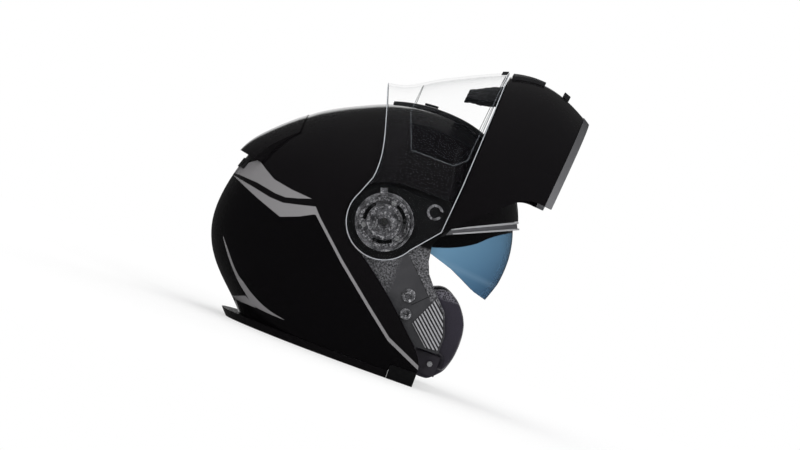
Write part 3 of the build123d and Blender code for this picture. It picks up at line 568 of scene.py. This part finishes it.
def soft_skin():
    """Smooth brushed lining of the cheek pads' front, faintly purple."""
    finish = Finish("brushed_purple_lining")
    point = finish.place()
    nap = finish.noise(point, 900, 4, 0.7)
    cloud = finish.noise(point, 30, 4)
    base = finish.mix(nap * 0.6 + cloud * 0.4, tone(30, 28, 35), tone(58, 54, 66))
    loops = finish.cells(point, 620, random=0.6)
    roll = ((finish.parts(point)[2] - PIVOT.z) / MM).above(-48.5, 2.5)
    base = finish.mix(roll, base, finish.mix(loops.above(0.45, 0.3), tone(22, 21, 25), tone(96, 94, 102)))
    return finish.close(
        Base_Color=base, Roughness=0.72, Specular=0.3, Sheen_Weight=0.45, Sheen_Roughness=0.35,
        Normal=finish.bump(loops * roll + nap * 0.6, 0.0002, 0.6),
    )


def webbing():
    """Plain woven belt: the strip's own map runs along and across it, in metres."""
    finish = Finish("woven_black_webbing")
    across, along, _ = finish.parts(finish.add("ShaderNodeUVMap", {"uv_map": "strip"}))
    rib = math.tau / 0.0016
    pick = (along * rib + (across * rib * 0.5).sine() * 1.2).sine()
    warp = (across * rib).sine()
    weave = pick * 0.6 + warp * 0.4
    fuzz = finish.noise(finish.place(), 700, 4, 0.7)
    base = finish.mix((weave * 0.35 + fuzz * 0.6).clamped(), tone(13, 13, 14), tone(52, 52, 55))
    bump = finish.bump(weave + fuzz * 0.4, 0.00018, 0.8)
    return finish.close(Base_Color=base, Roughness=0.8, Specular=0.25, Sheen_Weight=0.2, Normal=bump)


def clear_lens(name, tint, base_alpha, painted_sheen_alpha):
    """Clear hard lens: see-through face on, with a painted sheen that makes it a little brighter where it curves
    away.
    """
    finish = Finish(name)
    rim = finish.add("ShaderNodeLayerWeight", sockets={"Blend": 0.25}, outlet="Facing")
    scratch = finish.noise(finish.place(), 220, 6, 0.75).above(0.74, 0.1)
    # Painted sheen: the pale lens colour becomes more opaque where the lens turns edge-on.
    alpha = (rim ** 4.0) * painted_sheen_alpha + base_alpha
    return finish.close(Base_Color=tint, Roughness=scratch * 0.05 + 0.04, Specular=0.6, Alpha=alpha.clamped())


def painted_edge_highlight(name, colour, cover):
    """Rim of a clear sheet with a painted highlight: a bright, partly opaque colour along its cut edge."""
    finish = Finish(name)
    along = finish.noise(finish.place(), 45, 3)
    # Painted highlight: pale colour with a little noise along the edge.
    base = finish.mix(along, (*[c * 0.7 for c in colour], 1), (*colour, 1))
    return finish.close(Base_Color=base, Roughness=0.16, Specular=0.7, Alpha=along * 0.25 + (cover - 0.12))


# Lower edge of the dark band, in mm from the pivot
MIRROR_TOP = ((40, -8.5), (53.6, -5.8), (83.4, 7.7), (98.2, 20.2), (113.9, 30.3), (125, 36))


def mirror_lens():
    """Blue mirrored sun lens, with a dark band along its top, a painted reflection that darkens it towards the
    front and the bottom, and a painted reflected streak.
    """
    finish = Finish("blue_mirror_lens")
    look = bpy.context.scene.helmet_colours
    point = finish.place()
    x, _, z = finish.parts(point)
    along = (x - PIVOT.x) / MM
    up = (z - PIVOT.z) / MM
    # Painted reflection: the blue darkens unevenly towards the front and the bottom.
    painted_light_gradient = ((along - 42) / 95 - (up + 20) / 120).clamped()
    painted_reflection_wobble = finish.noise(point, 9, 2)
    painted_darkening = (*[c * f for c, f in zip(look.mirror, (0.24, 0.34, 0.46))], 1)
    base = finish.mix(painted_light_gradient + painted_reflection_wobble * 0.2 - 0.1, (*look.mirror, 1), painted_darkening)
    # Painted reflection: a pale streak across the lens.
    painted_reflection_streak = ((2.2 - abs(up + 17 + (along - 70) * 0.1)).above(0, 4)) * 0.28
    base = finish.mix(painted_reflection_streak, base, tone(150, 186, 214))
    edge = finish.line(along, MIRROR_TOP, -20, 50)
    base = finish.mix((up - edge).above(0, 0.9), base, tone(9, 9, 11))
    return finish.close(
        Base_Color=base, Roughness=0.08, Metallic=0.35, Specular=0.6, Coat_Weight=0.6, Coat_Roughness=0.03
    )


def vent_gauze():
    finish = Finish("vent_gauze")
    point = finish.place()
    grain = finish.cells(point, 700, random=0.2)
    base = finish.mix(grain, tone(8, 8, 9), tone(44, 44, 46))
    return finish.close(Base_Color=base, Roughness=0.7, Normal=finish.bump(grain, 0.0002, 0.8))


finishes = {}


def mix_finishes():
    """All finishes, once the colour settings exist."""
    look = bpy.context.scene.helmet_colours
    finishes.update(
        gloss_black=black_paint(),
        stripes=striped_paint(),
        grey_paint=bar_band(),
        dark_plastic=moulded_plastic("grained_dark_plastic", tone(37, 37, 39)[:3], 0.46),
        flank_plastic=flank_plate(),
        grille=ribbed_grille(),
        mechanism_grey=cast_metal("cast_mechanism_grey", tone(38, 38, 40), tone(132, 132, 136), 0.8),
        hub_grey=cast_metal("cast_hub_grey", tone(20, 20, 22), tone(104, 104, 108), 0.6),
        brow_grey=moulded_plastic("satin_brow_grey", tone(92, 92, 95)[:3], 0.3, 2600, 0.00003),
        corner_plastic=moulded_plastic("purple_grey_corner", tone(50, 47, 54)[:3], 0.5),
        arm_black=moulded_plastic("satin_black_arm", tone(17, 17, 18)[:3], 0.4, 2200, 0.00003, 0.3),
        rubber=rubber(),
        silver_bead=brushed("satin_silver_bead", tone(206, 207, 210)[:3], 0.3, 0.2),
        steel=brushed("turned_steel", tone(196, 197, 199)[:3], 0.26, 0.6),
        foam=bead_foam(),
        comfort_cloth=knit("comfort_knit", tuple(look.cloth)),
        lining=soft_skin(),
        thread=knit("sewing_thread", tone(120, 118, 126)[:3], 0.0006, 0.00005),
        webbing=webbing(),
        clear_lens=clear_lens("clear_visor", tone(150, 156, 163), 0.004, 0.3),
        insert_clear=clear_lens("clear_insert", tone(140, 147, 155), 0.003, 0.25),
        visor_edge=painted_edge_highlight("polished_visor_edge", tone(214, 218, 224)[:3], 0.75),
        insert_edge=painted_edge_highlight("polished_insert_edge", tone(160, 166, 174)[:3], 0.2),
        blue_mirror=mirror_lens(),
        red_button=moulded_plastic("red_release_plastic", tone(142, 20, 22)[:3], 0.4, 1600, 0.00004),
        gauze=vent_gauze(),
    )


# Hard pieces
# Nodes whose finish differs from that of their slot in the record
OWN_FINISH = {
    "side_grilles": "grille", "pivot_caps": "hub_grey", "brow_trim": "brow_grey",
    "quick_lever_right": "mechanism_grey", "quick_lever_left": "mechanism_grey",
    "latch_brackets": "corner_plastic", "corner_trims": "arm_black",
    "chin_arm_right": "arm_black", "chin_arm_left": "arm_black", "rear_vent_insert": "gauze",
    "sun_visor_lens": "blue_mirror",
}


def dress_cad_nodes():
    """Every carried-over CAD node takes the finish of its slot in the record, or its own."""
    slots = {row["node"]: row["material_slot"] for row in frame["record"]["subparts"]}
    slots.update(OWN_FINISH)
    for name, node in frame["nodes"].items():
        for place in node.material_slots:
            place.material = finishes[slots[name]]


# CAD node, piece, finish and slot
SMOOTH_SKINS = (
    ("outer_shell", "painted_shell", "stripes", "gloss_black"),
    ("flank_step", "painted_flank_step", "gloss_black", "gloss_black"),
    ("chin_bar_shell", "painted_chin_bar", "gloss_black", "gloss_black"),
    ("rear_spoiler", "tail_spoiler", "gloss_black", "gloss_black"),
    ("crown_vent_cover", "crown_scoop", "dark_plastic", "dark_plastic"),
    ("base_trim", "bottom_edge_trim", "gloss_black", "dark_plastic"),
    ("bar_base_trim", "bar_bottom_band", "grey_paint", "grey_paint"),
    ("visor_lens", "clear_visor_lens", "clear_lens", "clear_lens"),
    ("insert_lens", "clear_insert_lens", "insert_clear", "insert_clear"),
)


def make_skins():
    for node, name, finish, slot in SMOOTH_SKINS:
        smooth_skin(node, name, finishes[finish])


def edge_bead(node, name, finish, radius):
    """Fine bead along the cut edges of a clear sheet, which carries the painted highlight of the edge."""
    mesh = merged(node)
    plain = [edge for edge in mesh.edges if not edge.is_manifold or edge.calc_face_angle() < math.radians(50)]
    bmesh.ops.delete(mesh, geom=plain, context="EDGES_FACES")
    bmesh.ops.delete(mesh, geom=[vert for vert in mesh.verts if not vert.link_edges], context="VERTS")
    line = new_piece(name + "_line", mesh, body_of_node(node), finish)
    bpy.ops.object.select_all(action="DESELECT")
    line.select_set(True)
    bpy.context.view_layer.objects.active = line
    bpy.ops.object.convert(target="CURVE")
    curve = bpy.context.view_layer.objects.active
    curve.data.bevel_depth = radius
    curve.data.bevel_resolution = 1
    data = bpy.data.meshes.new_from_object(curve.evaluated_get(bpy.context.evaluated_depsgraph_get()))
    bpy.data.objects.remove(curve)
    bead = bmesh.new()
    bead.from_mesh(data)
    smooth_edges(bead, math.radians(80))
    return new_piece(name, bead, body_of_node(node), finish)


def make_breath_guard():
    """Wrinkled rubber guard inside the chin bar."""
    node = "breath_deflector"
    guard = remeshed(node, "breath_guard", body_of_node(node), finishes["rubber"], 0.0011)

    def wrinkle(mesh):
        mesh.normal_update()
        for vert in mesh.verts:
            vert.co += vert.normal * noise.noise(vert.co * 170) * 0.0009

    reshape(guard, wrinkle)


def make_lens_edges():
    # Beads with painted highlights along the visor's and the insert's edges.
    edge_bead("visor_lens", "visor_edge_bead", finishes["visor_edge"], 0.00042)
    edge_bead("insert_lens", "insert_edge_bead", finishes["insert_edge"], 0.0003)


# Soft pieces
def remeshed(node, name, body, finish, voxel):
    """Pad as an even mesh from its CAD solid."""
    mesh = merged(node)
    piece = new_piece(name, mesh, body, finish)
    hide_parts(node)
    even = piece.modifiers.new("Even", "REMESH")
    even.mode = "VOXEL"
    even.voxel_size = voxel
    settle(piece)
    return piece


def reshape(piece, moved):
    """Rewrite a piece's mesh through a function on its bmesh."""
    mesh = bmesh.new()
    mesh.from_mesh(piece.data)
    moved(mesh)
    for face in mesh.faces:
        face.smooth = True
    mesh.to_mesh(piece.data)
    mesh.free()
    piece.data.update()


def relaxed(piece, rounds):
    """Even out a piece's surface."""

    def smooth(mesh):
        for _ in range(rounds):
            bmesh.ops.smooth_vert(
                mesh, verts=mesh.verts, factor=0.5, use_axis_x=True, use_axis_y=True, use_axis_z=True
            )

    reshape(piece, smooth)


def drawn_in(piece, depth):
    """Move a piece's surface inwards."""

    def shrink(mesh):
        mesh.normal_update()
        for vert in mesh.verts:
            vert.co -= vert.normal * depth

    reshape(piece, shrink)


def puffed(piece, pressure, cap):
    """Cloth pressure fills the pad, and no point moves further than the cap."""
    start = [vert.co.copy() for vert in piece.data.vertices]
    cloth = piece.modifiers.new("Filling", "CLOTH")
    cloth.settings.use_pressure = True
    cloth.settings.uniform_pressure_force = pressure
    cloth.settings.effector_weights.gravity = 0
    cloth.settings.tension_stiffness = 15
    cloth.settings.compression_stiffness = 15
    cloth.settings.bending_stiffness = 2
    scene = bpy.context.scene
    for step in range(1, CLOTH_STEPS + 1):
        scene.frame_set(step)
    settle(piece)
    for vert, first in zip(piece.data.vertices, start):
        move = vert.co - first
        if move.length > cap:
            vert.co = first + move.normalized() * cap
    scene.frame_set(1)


def grooved(piece, seams):
    """Sewn seams: each is (distance function, width, depth)."""

    def sink(mesh):
        mesh.normal_update()
        for vert in mesh.verts:
            drop = 0
            for distance, width, depth in seams:
                share = distance(vert.co) / width
                drop += depth * math.exp(-share * share)
            vert.co -= vert.normal * min(drop, MOST_SEAM_DEPTH)

    reshape(piece, sink)


def finer(piece):
    """Subdivide a piece once, smoothly."""
    modifier = piece.modifiers.new("Finer", "SUBSURF")
    modifier.levels = 1
    modifier.render_levels = 1
    settle(piece)
    reshape(piece, lambda mesh: None)


def stitch_row(name, piece, body, path):
    """Row of thread stitches laid on a pad along a path of (origin, direction) rays."""
    tree = surface_of(piece)
    hits = []
    for origin, direction in path:
        spot, normal, _, _ = tree.ray_cast(Vector(origin), Vector(direction))
        if spot is not None:
            hits.append((spot, normal))
    mesh = bmesh.new()
    run = 0
    for (a, na), (b, _) in zip(hits, hits[1:]):
        step = b - a
        run += step.length
        if run < STITCH_GAP or step.length < WELD:
            continue
        run = 0
        along = step.normalized()
        side = na.cross(along).normalized()
        turn = Matrix((along, side, na)).transposed().to_4x4()
        made = bmesh.ops.create_icosphere(mesh, subdivisions=1, radius=1)["verts"]
        bmesh.ops.scale(mesh, verts=made, vec=(STITCH_LONG / 2, STITCH_THICK, STITCH_THICK * 0.8))
        raised = Matrix.Translation(a + na * STITCH_THICK * 0.3)
        bmesh.ops.transform(mesh, verts=made, matrix=raised @ turn)
    for face in mesh.faces:
        face.smooth = True
    return new_piece(name, mesh, body, finishes["thread"])


def make_cheek_pad(side, sign):
    node = "cheek_pad_" + side
    pad = remeshed(node, "cheek_cushion_" + side, "helmet", finishes["lining"], 0.0032)
    relaxed(pad, 3)
    drawn_in(pad, 0.0012)
    puffed(pad, 3.0, 0.0018)
    low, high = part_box(node)
    front = low.x + (high.x - low.x) * 0.62
    inner = sign * (min(abs(low.y), abs(high.y)) + abs(high.y - low.y) * 0.42)
    seams = (
        (lambda co: co.y - inner, 0.0022, 0.0016),
        (lambda co: (co.x - front) + (co.z - 0.06) * 0.35, 0.0024, 0.0014),
    )
    grooved(pad, seams)
    finer(pad)
    for beside in (-0.0022, 0.0022):
        levels = [low.z + 0.0005 * i for i in range(int((high.z - low.z) / 0.0005))]
        rays = [((front + beside - (z - 0.06) * 0.35, 0, z), (0, sign, 0)) for z in levels]
        row = "_front" if beside > 0 else "_rear"
        stitch_row("cheek_stitches_" + side + row, pad, "helmet", rays)
    return pad


def make_crown_pad():
    pad = remeshed("crown_pad", "crown_cushion", "helmet", finishes["comfort_cloth"], 0.0036)
    relaxed(pad, 2)
    puffed(pad, 3.0, 0.0015)
    seams = [(lambda co, y=y: co.y - y, 0.0028, 0.002) for y in (-0.032, 0.032)]
    seams.append((lambda co: co.x - 0.055, 0.0028, 0.0018))
    seams.append((lambda co: co.x + 0.045, 0.0028, 0.0018))
    grooved(pad, seams)
    finer(pad)
    for side, y in (("right", -0.0345), ("left", 0.0345)):
        rays = [((-0.1 + 0.0005 * i, y, 0.1), (0, 0, 1)) for i in range(340)]
        stitch_row("crown_stitches_" + side, pad, "helmet", rays)
    return pad


def make_neck_roll():
    roll = remeshed("neck_roll", "neck_cushion", "helmet", finishes["comfort_cloth"], 0.0034)
    relaxed(roll, 3)
    puffed(roll, 3.0, 0.0016)
    low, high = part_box("neck_roll")
    level = (low.z + high.z) / 2
    grooved(roll, [(lambda co: co.z - level, 0.0022, 0.0014)])
    finer(roll)
    return roll


def make_foam(node, name, voxel):
    """Moulded bead foam with rounded edges."""
    body = body_of_node(node)
    foam = remeshed(node, name, body, finishes["foam"], voxel)
    relaxed(foam, 2)
    return foam


# Across and up, as shares of the shell's length and of the pivot's height
STRAP_ROUTE = (
    (0.178, 0.40), (0.174, 0.54), (0.158, 0.66), (0.135, 0.735), (0.092, 0.80), (0.05, 0.825), (0.0435, 0.83),
)
SHELL_LONG = 0.342
STRAP_DROP = 0.03


def eased(corners, steps=12):
    """Smooth line through corners, which keeps its ends."""
    line = []
    for i in range(len(corners) - 1):
        before = corners[max(i - 1, 0)]
        after = corners[min(i + 2, len(corners) - 1)]
        lead = corners[i] + (corners[i + 1] - before) / 6
        trail = corners[i + 1] - (after - corners[i]) / 6
        line += interpolate_bezier(corners[i], lead, trail, corners[i + 1], steps)[:-1]
    return line + [corners[-1]]


def woven_band(name, line, thick, offset):
    """Webbing bent from a flat grid, with its own along and across map, and its cut length."""
    length = sum((b - a).length for a, b in zip(line, line[1:]))
    mesh = bmesh.new()
    bmesh.ops.create_grid(mesh, x_segments=len(line) - 1, y_segments=6, size=0.5)
    strip = mesh.loops.layers.uv.new("strip")
    for face in mesh.faces:
        face.smooth = True
        for loop in face.loops:
            co = loop.vert.co
            loop[strip].uv = ((co.y + 0.5) * STRAP_WIDE, (co.x + 0.5) * length)
    for vert in mesh.verts:
        spot = line[round((vert.co.x + 0.5) * (len(line) - 1))]
        vert.co = Vector((STRAP_LEFT + (vert.co.y + 0.5) * STRAP_WIDE, spot.y, spot.z))
    mesh.normal_update()
    piece = new_piece(name, mesh, "helmet", finishes["webbing"])
    wall = piece.modifiers.new("Wall", "SOLIDIFY")
    wall.thickness = thick
    wall.offset = offset
    settle(piece)
    edge = piece.modifiers.new("Edge", "BEVEL")
    edge.width = 0.0004
    edge.segments = 2
    edge.limit_method = "ANGLE"
    return piece, length


def make_strap(side, sign):
    """Chin strap along the route of its CAD solid."""
    raised = PIVOT.z - SHELL_LONG * STRAP_DROP
    corners = [Vector((0, sign * y * SHELL_LONG, raised - z * PIVOT.z)) for y, z in STRAP_ROUTE]
    piece, length = woven_band("strap_webbing_" + side, eased(corners), 0.0016, float(sign))
    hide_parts("chin_strap_" + side)


def make_anchor(side, sign):
    """Folded end of the webbing that is sewn to the shell."""
    low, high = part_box("strap_anchors")
    inner, outer = high.y - 0.0026, high.y - 0.0006
    top, turn = high.z - 0.0008, high.z - 0.0022
    partway = low.z * 0.4 + turn * 0.6
    inside = [(inner, low.z), (inner, partway), (inner, turn)]
    outside = [(outer, turn), (outer, partway), (outer, low.z)]
    corners = inside + [((inner + outer) / 2, top)] + outside
    line = eased([Vector((0, sign * y, z)) for y, z in corners], 8)
    piece, length = woven_band("anchor_fold_" + side, line, 0.0011, 0.0)
    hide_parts("strap_anchors")


# Stage
def make_backdrop(name, shape, finish):
    """Studio surface that isn't part of the helmet."""
    data = bpy.data.meshes.new(name)
    shape.to_mesh(data)
    shape.free()
    backdrop = bpy.data.objects.new(name, data)
    bpy.context.scene.collection.objects.link(backdrop)
    data.materials.append(finish)
    return backdrop


def make_stage():
    scene = bpy.context.scene
    look = scene.helmet_colours
    light = scene.helmet_studio
    white = (1, 1, 1, 1)

    paper = Finish("studio_floor")
    point = paper.place()
    x, y, _ = paper.parts(point)
    away = (x * x + y * y) ** 0.5
    colour = paper.mix(paper.noise(point, 3, 3) * 0.3, (*look.floor, 1), (0.92, 0.92, 0.92, 1))
    matte = paper.add("ShaderNodeBsdfDiffuse", sockets={"Color": colour})
    glow = paper.add("ShaderNodeEmission", sockets={"Color": white, "Strength": 1.0})
    fade = (((away - 0.22) / 0.8).clamped() * (1 - light.floor_glow) + light.floor_glow) * paper.seen()
    paper.output(paper.add("ShaderNodeMixShader", sockets={0: fade, 1: matte, 2: glow}))
    shape = bmesh.new()
    bmesh.ops.create_circle(shape, cap_ends=True, segments=96, radius=light.floor_radius)
    make_backdrop("floor", shape, paper.material).visible_glossy = False

    flag = Finish("dark_flags")
    x, y, z = [side / light.floor_radius for side in flag.parts(flag.place())]
    card = (y * 0.962 + z * 0.25 - x * 0.11).above(0.982, 0.02) * light.card
    shade = (z.clamped() ** 2.0) * light.sky + card + light.flag
    flag.output(flag.add("ShaderNodeEmission", sockets={"Color": white, "Strength": shade}))
    shape = bmesh.new()
    bmesh.ops.create_uvsphere(shape, u_segments=48, v_segments=24, radius=light.floor_radius)
    flags = make_backdrop("dark_flags", shape, flag.material)
    for kind in ("camera", "diffuse", "transmission", "shadow", "volume_scatter"):
        setattr(flags, "visible_" + kind, False)

    world = bpy.data.worlds.new("studio")
    scene.world = world
    room = Finish("studio", world)
    ambient = room.add("ShaderNodeBackground", sockets={"Color": white, "Strength": light.ambient})
    plain = room.add("ShaderNodeBackground", sockets={"Color": white, "Strength": 1.0})
    either = room.add("ShaderNodeMixShader", sockets={0: room.seen(), 1: ambient, 2: plain})
    room.output(either, "ShaderNodeOutputWorld")

    lamps = (
        ("overhead", (0.0, 0.0, 2.6), 2.4, light.overhead),
        ("front_right", (1.4, -2.2, 1.3), 1.4, light.sides),
        ("rear_right", (-1.6, -2.0, 1.1), 1.4, light.sides * 0.7),
        ("front_left", (1.4, 2.2, 1.3), 1.4, light.sides),
        ("rear_left", (-1.6, 2.0, 1.1), 1.4, light.sides * 0.7),
    )
    for name, place, size, power in lamps:
        lamp = bpy.data.lights.new(name, "AREA")
        lamp.shape = "SQUARE"
        lamp.size = size
        lamp.energy = power
        holder = bpy.data.objects.new(name, lamp)
        holder.location = place
        holder.rotation_euler = (PIVOT - Vector(place)).to_track_quat("-Z", "Y").to_euler()
        holder.visible_glossy = False
        holder.visible_camera = False
        scene.collection.objects.link(holder)
    scene.view_settings.view_transform = "Standard"


def make_camera():
    """Side view, rolled as the helmet is tipped in the photograph."""
    scene = bpy.context.scene
    view = scene.helmet_studio
    tip = view.tip
    right = Vector((math.cos(tip), 0, math.sin(tip)))
    up = Vector((-math.sin(tip), 0, math.cos(tip)))
    back = Vector((0, -1, 0))
    aim = PIVOT + Vector((view.aim_x, 0, view.aim_z))
    eye = aim + back * view.distance
    camera = bpy.data.cameras.new("camera")
    camera.sensor_width = 36
    camera.lens = 36 * view.distance / view.frame_width
    camera.clip_end = 50
    holder = bpy.data.objects.new("camera", camera)
    turn = Matrix((right, up, back)).transposed().to_4x4()
    holder.matrix_world = Matrix.Translation(eye) @ turn
    scene.collection.objects.link(holder)
    scene.camera = holder


# Settings
def colour_setting(name, description, default):
    return FloatVectorProperty(
        name=name, description=description, size=3, subtype="COLOR", default=default, min=0, max=1
    )


class HelmetColours(bpy.types.PropertyGroup):
    """Colours that a user would change, as linear values."""

    black: colour_setting("Black", "Clear-coated black", (0.0035, 0.003, 0.0036))
    stripe: colour_setting("Stripe", "Grey stripes of the shell", (0.19, 0.185, 0.19))
    base_grey: colour_setting("Bar band", "Grey band of the chin bar", (0.1, 0.1, 0.105))
    cloth: colour_setting("Cloth", "Comfort cloth", (0.028, 0.026, 0.034))
    mirror: colour_setting("Mirror", "Mirrored sun lens", (0.21, 0.42, 0.62))
    floor: colour_setting("Floor", "Floor paper", (0.86, 0.86, 0.86))


class HelmetStudio(bpy.types.PropertyGroup):
    """Lights and camera."""

    ambient: FloatProperty(
        name="Ambient", description="Strength of the room's light",
        default=0.55, min=0, max=5,
    )
    overhead: FloatProperty(name="Overhead", description="Overhead lamp", default=26, min=0, unit="POWER")
    sides: FloatProperty(name="Sides", description="Each front side lamp", default=22, min=0, unit="POWER")
    flag: FloatProperty(
        name="Flags", description="Brightness of the dark flags in reflections",
        default=0.03, min=0, max=1,
    )
    sky: FloatProperty(
        name="Flag top", description="Brightness that the flags gain overhead",
        default=0.08, min=0, max=1,
    )
    card: FloatProperty(
        name="Card", description="Brightness of the white card behind, seen in the crown's edge",
        default=0.9, min=0, max=1,
    )
    floor_glow: FloatProperty(
        name="Floor glow", description="Share of plain white in the floor by the helmet",
        default=0.55, min=0, max=1,
    )
    floor_radius: FloatProperty(
        name="Floor radius", description="Radius of the floor",
        default=6, min=1, unit="LENGTH",
    )
    tip: FloatProperty(name="Tip", description="Camera roll", default=math.radians(20), subtype="ANGLE")
    aim_x: FloatProperty(
        name="Aim forward", description="Aim ahead of the pivot",
        default=0.0144, unit="LENGTH",
    )
    aim_z: FloatProperty(name="Aim up", description="Aim above the pivot", default=0.0022, unit="LENGTH")
    distance: FloatProperty(
        name="Distance", description="Camera to the helmet's middle",
        default=3.0, min=0.5, unit="LENGTH",
    )
    frame_width: FloatProperty(
        name="Frame width", description="Width seen at the helmet's middle",
        default=0.76, min=0.1, unit="LENGTH",
    )


class HELMET_OT_finishes(bpy.types.Operator):
    """Mix every finish and give the CAD nodes theirs"""

    bl_idname = "helmet.finishes"
    bl_label = "Finishes"

    def execute(self, context):
        mix_finishes()
        dress_cad_nodes()
        return {"FINISHED"}


class HELMET_OT_skins(bpy.types.Operator):
    """Smooth painted skins, trims and lenses"""

    bl_idname = "helmet.skins"
    bl_label = "Painted skins and lenses"

    def execute(self, context):
        make_skins()
        make_lens_edges()
        make_breath_guard()
        return {"FINISHED"}


class HELMET_OT_foam(bpy.types.Operator):
    """Bead foam of the shell and of the chin bar"""

    bl_idname = "helmet.foam"
    bl_label = "Foam"

    def execute(self, context):
        make_foam("impact_liner", "bead_foam_liner", 0.0032)
        make_foam("chin_bar_liner", "bar_foam", 0.003)
        return {"FINISHED"}


class HELMET_OT_cheek_pads(bpy.types.Operator):
    """Both cheek pads"""

    bl_idname = "helmet.cheek_pads"
    bl_label = "Cheek pads"

    def execute(self, context):
        make_cheek_pad("right", -1)
        make_cheek_pad("left", 1)
        return {"FINISHED"}


class HELMET_OT_crown_pad(bpy.types.Operator):
    """Comfort pad of the crown"""

    bl_idname = "helmet.crown_pad"
    bl_label = "Crown pad"

    def execute(self, context):
        make_crown_pad()
        return {"FINISHED"}


class HELMET_OT_neck_roll(bpy.types.Operator):
    """Neck roll with its seam"""

    bl_idname = "helmet.neck_roll"
    bl_label = "Neck roll"

    def execute(self, context):
        make_neck_roll()
        return {"FINISHED"}


class HELMET_OT_straps(bpy.types.Operator):
    """Woven chin straps"""

    bl_idname = "helmet.straps"
    bl_label = "Chin straps"

    def execute(self, context):
        for side, sign in (("right", -1), ("left", 1)):
            make_strap(side, sign)
            make_anchor(side, sign)
        return {"FINISHED"}


class HELMET_OT_stage(bpy.types.Operator):
    """Floor, flags, lamps and camera"""

    bl_idname = "helmet.stage"
    bl_label = "Stage"

    def execute(self, context):
        make_stage()
        make_camera()
        return {"FINISHED"}


OPERATORS = (
    HELMET_OT_finishes, HELMET_OT_skins, HELMET_OT_foam, HELMET_OT_cheek_pads, HELMET_OT_crown_pad,
    HELMET_OT_neck_roll, HELMET_OT_straps, HELMET_OT_stage,
)


class HELMET_PT_panel(bpy.types.Panel):
    """Lists the helmet's operators and settings"""

    bl_label = "Helmet"
    bl_idname = "HELMET_PT_panel"
    bl_space_type = "VIEW_3D"
    bl_region_type = "UI"
    bl_category = "Helmet"

    def draw(self, context):
        for kind in OPERATORS:
            self.layout.operator(kind.bl_idname)
        for group in (context.scene.helmet_colours, context.scene.helmet_studio):
            for name in group.__annotations__:
                self.layout.prop(group, name)


CLASSES = (HelmetColours, HelmetStudio, *OPERATORS, HELMET_PT_panel)


def register():
    for kind in CLASSES:
        bpy.utils.register_class(kind)
    bpy.types.Scene.helmet_colours = PointerProperty(type=HelmetColours)
    bpy.types.Scene.helmet_studio = PointerProperty(type=HelmetStudio)


def unregister():
    del bpy.types.Scene.helmet_studio
    del bpy.types.Scene.helmet_colours
    for kind in reversed(CLASSES):
        bpy.utils.unregister_class(kind)


def main():
    register()
    bpy.ops.helmet.finishes()
    bpy.ops.helmet.skins()
    bpy.ops.helmet.foam()
    bpy.ops.helmet.cheek_pads()
    bpy.ops.helmet.crown_pad()
    bpy.ops.helmet.neck_roll()
    bpy.ops.helmet.straps()
    bpy.ops.helmet.stage()


if __name__ == "__main__":
    main()
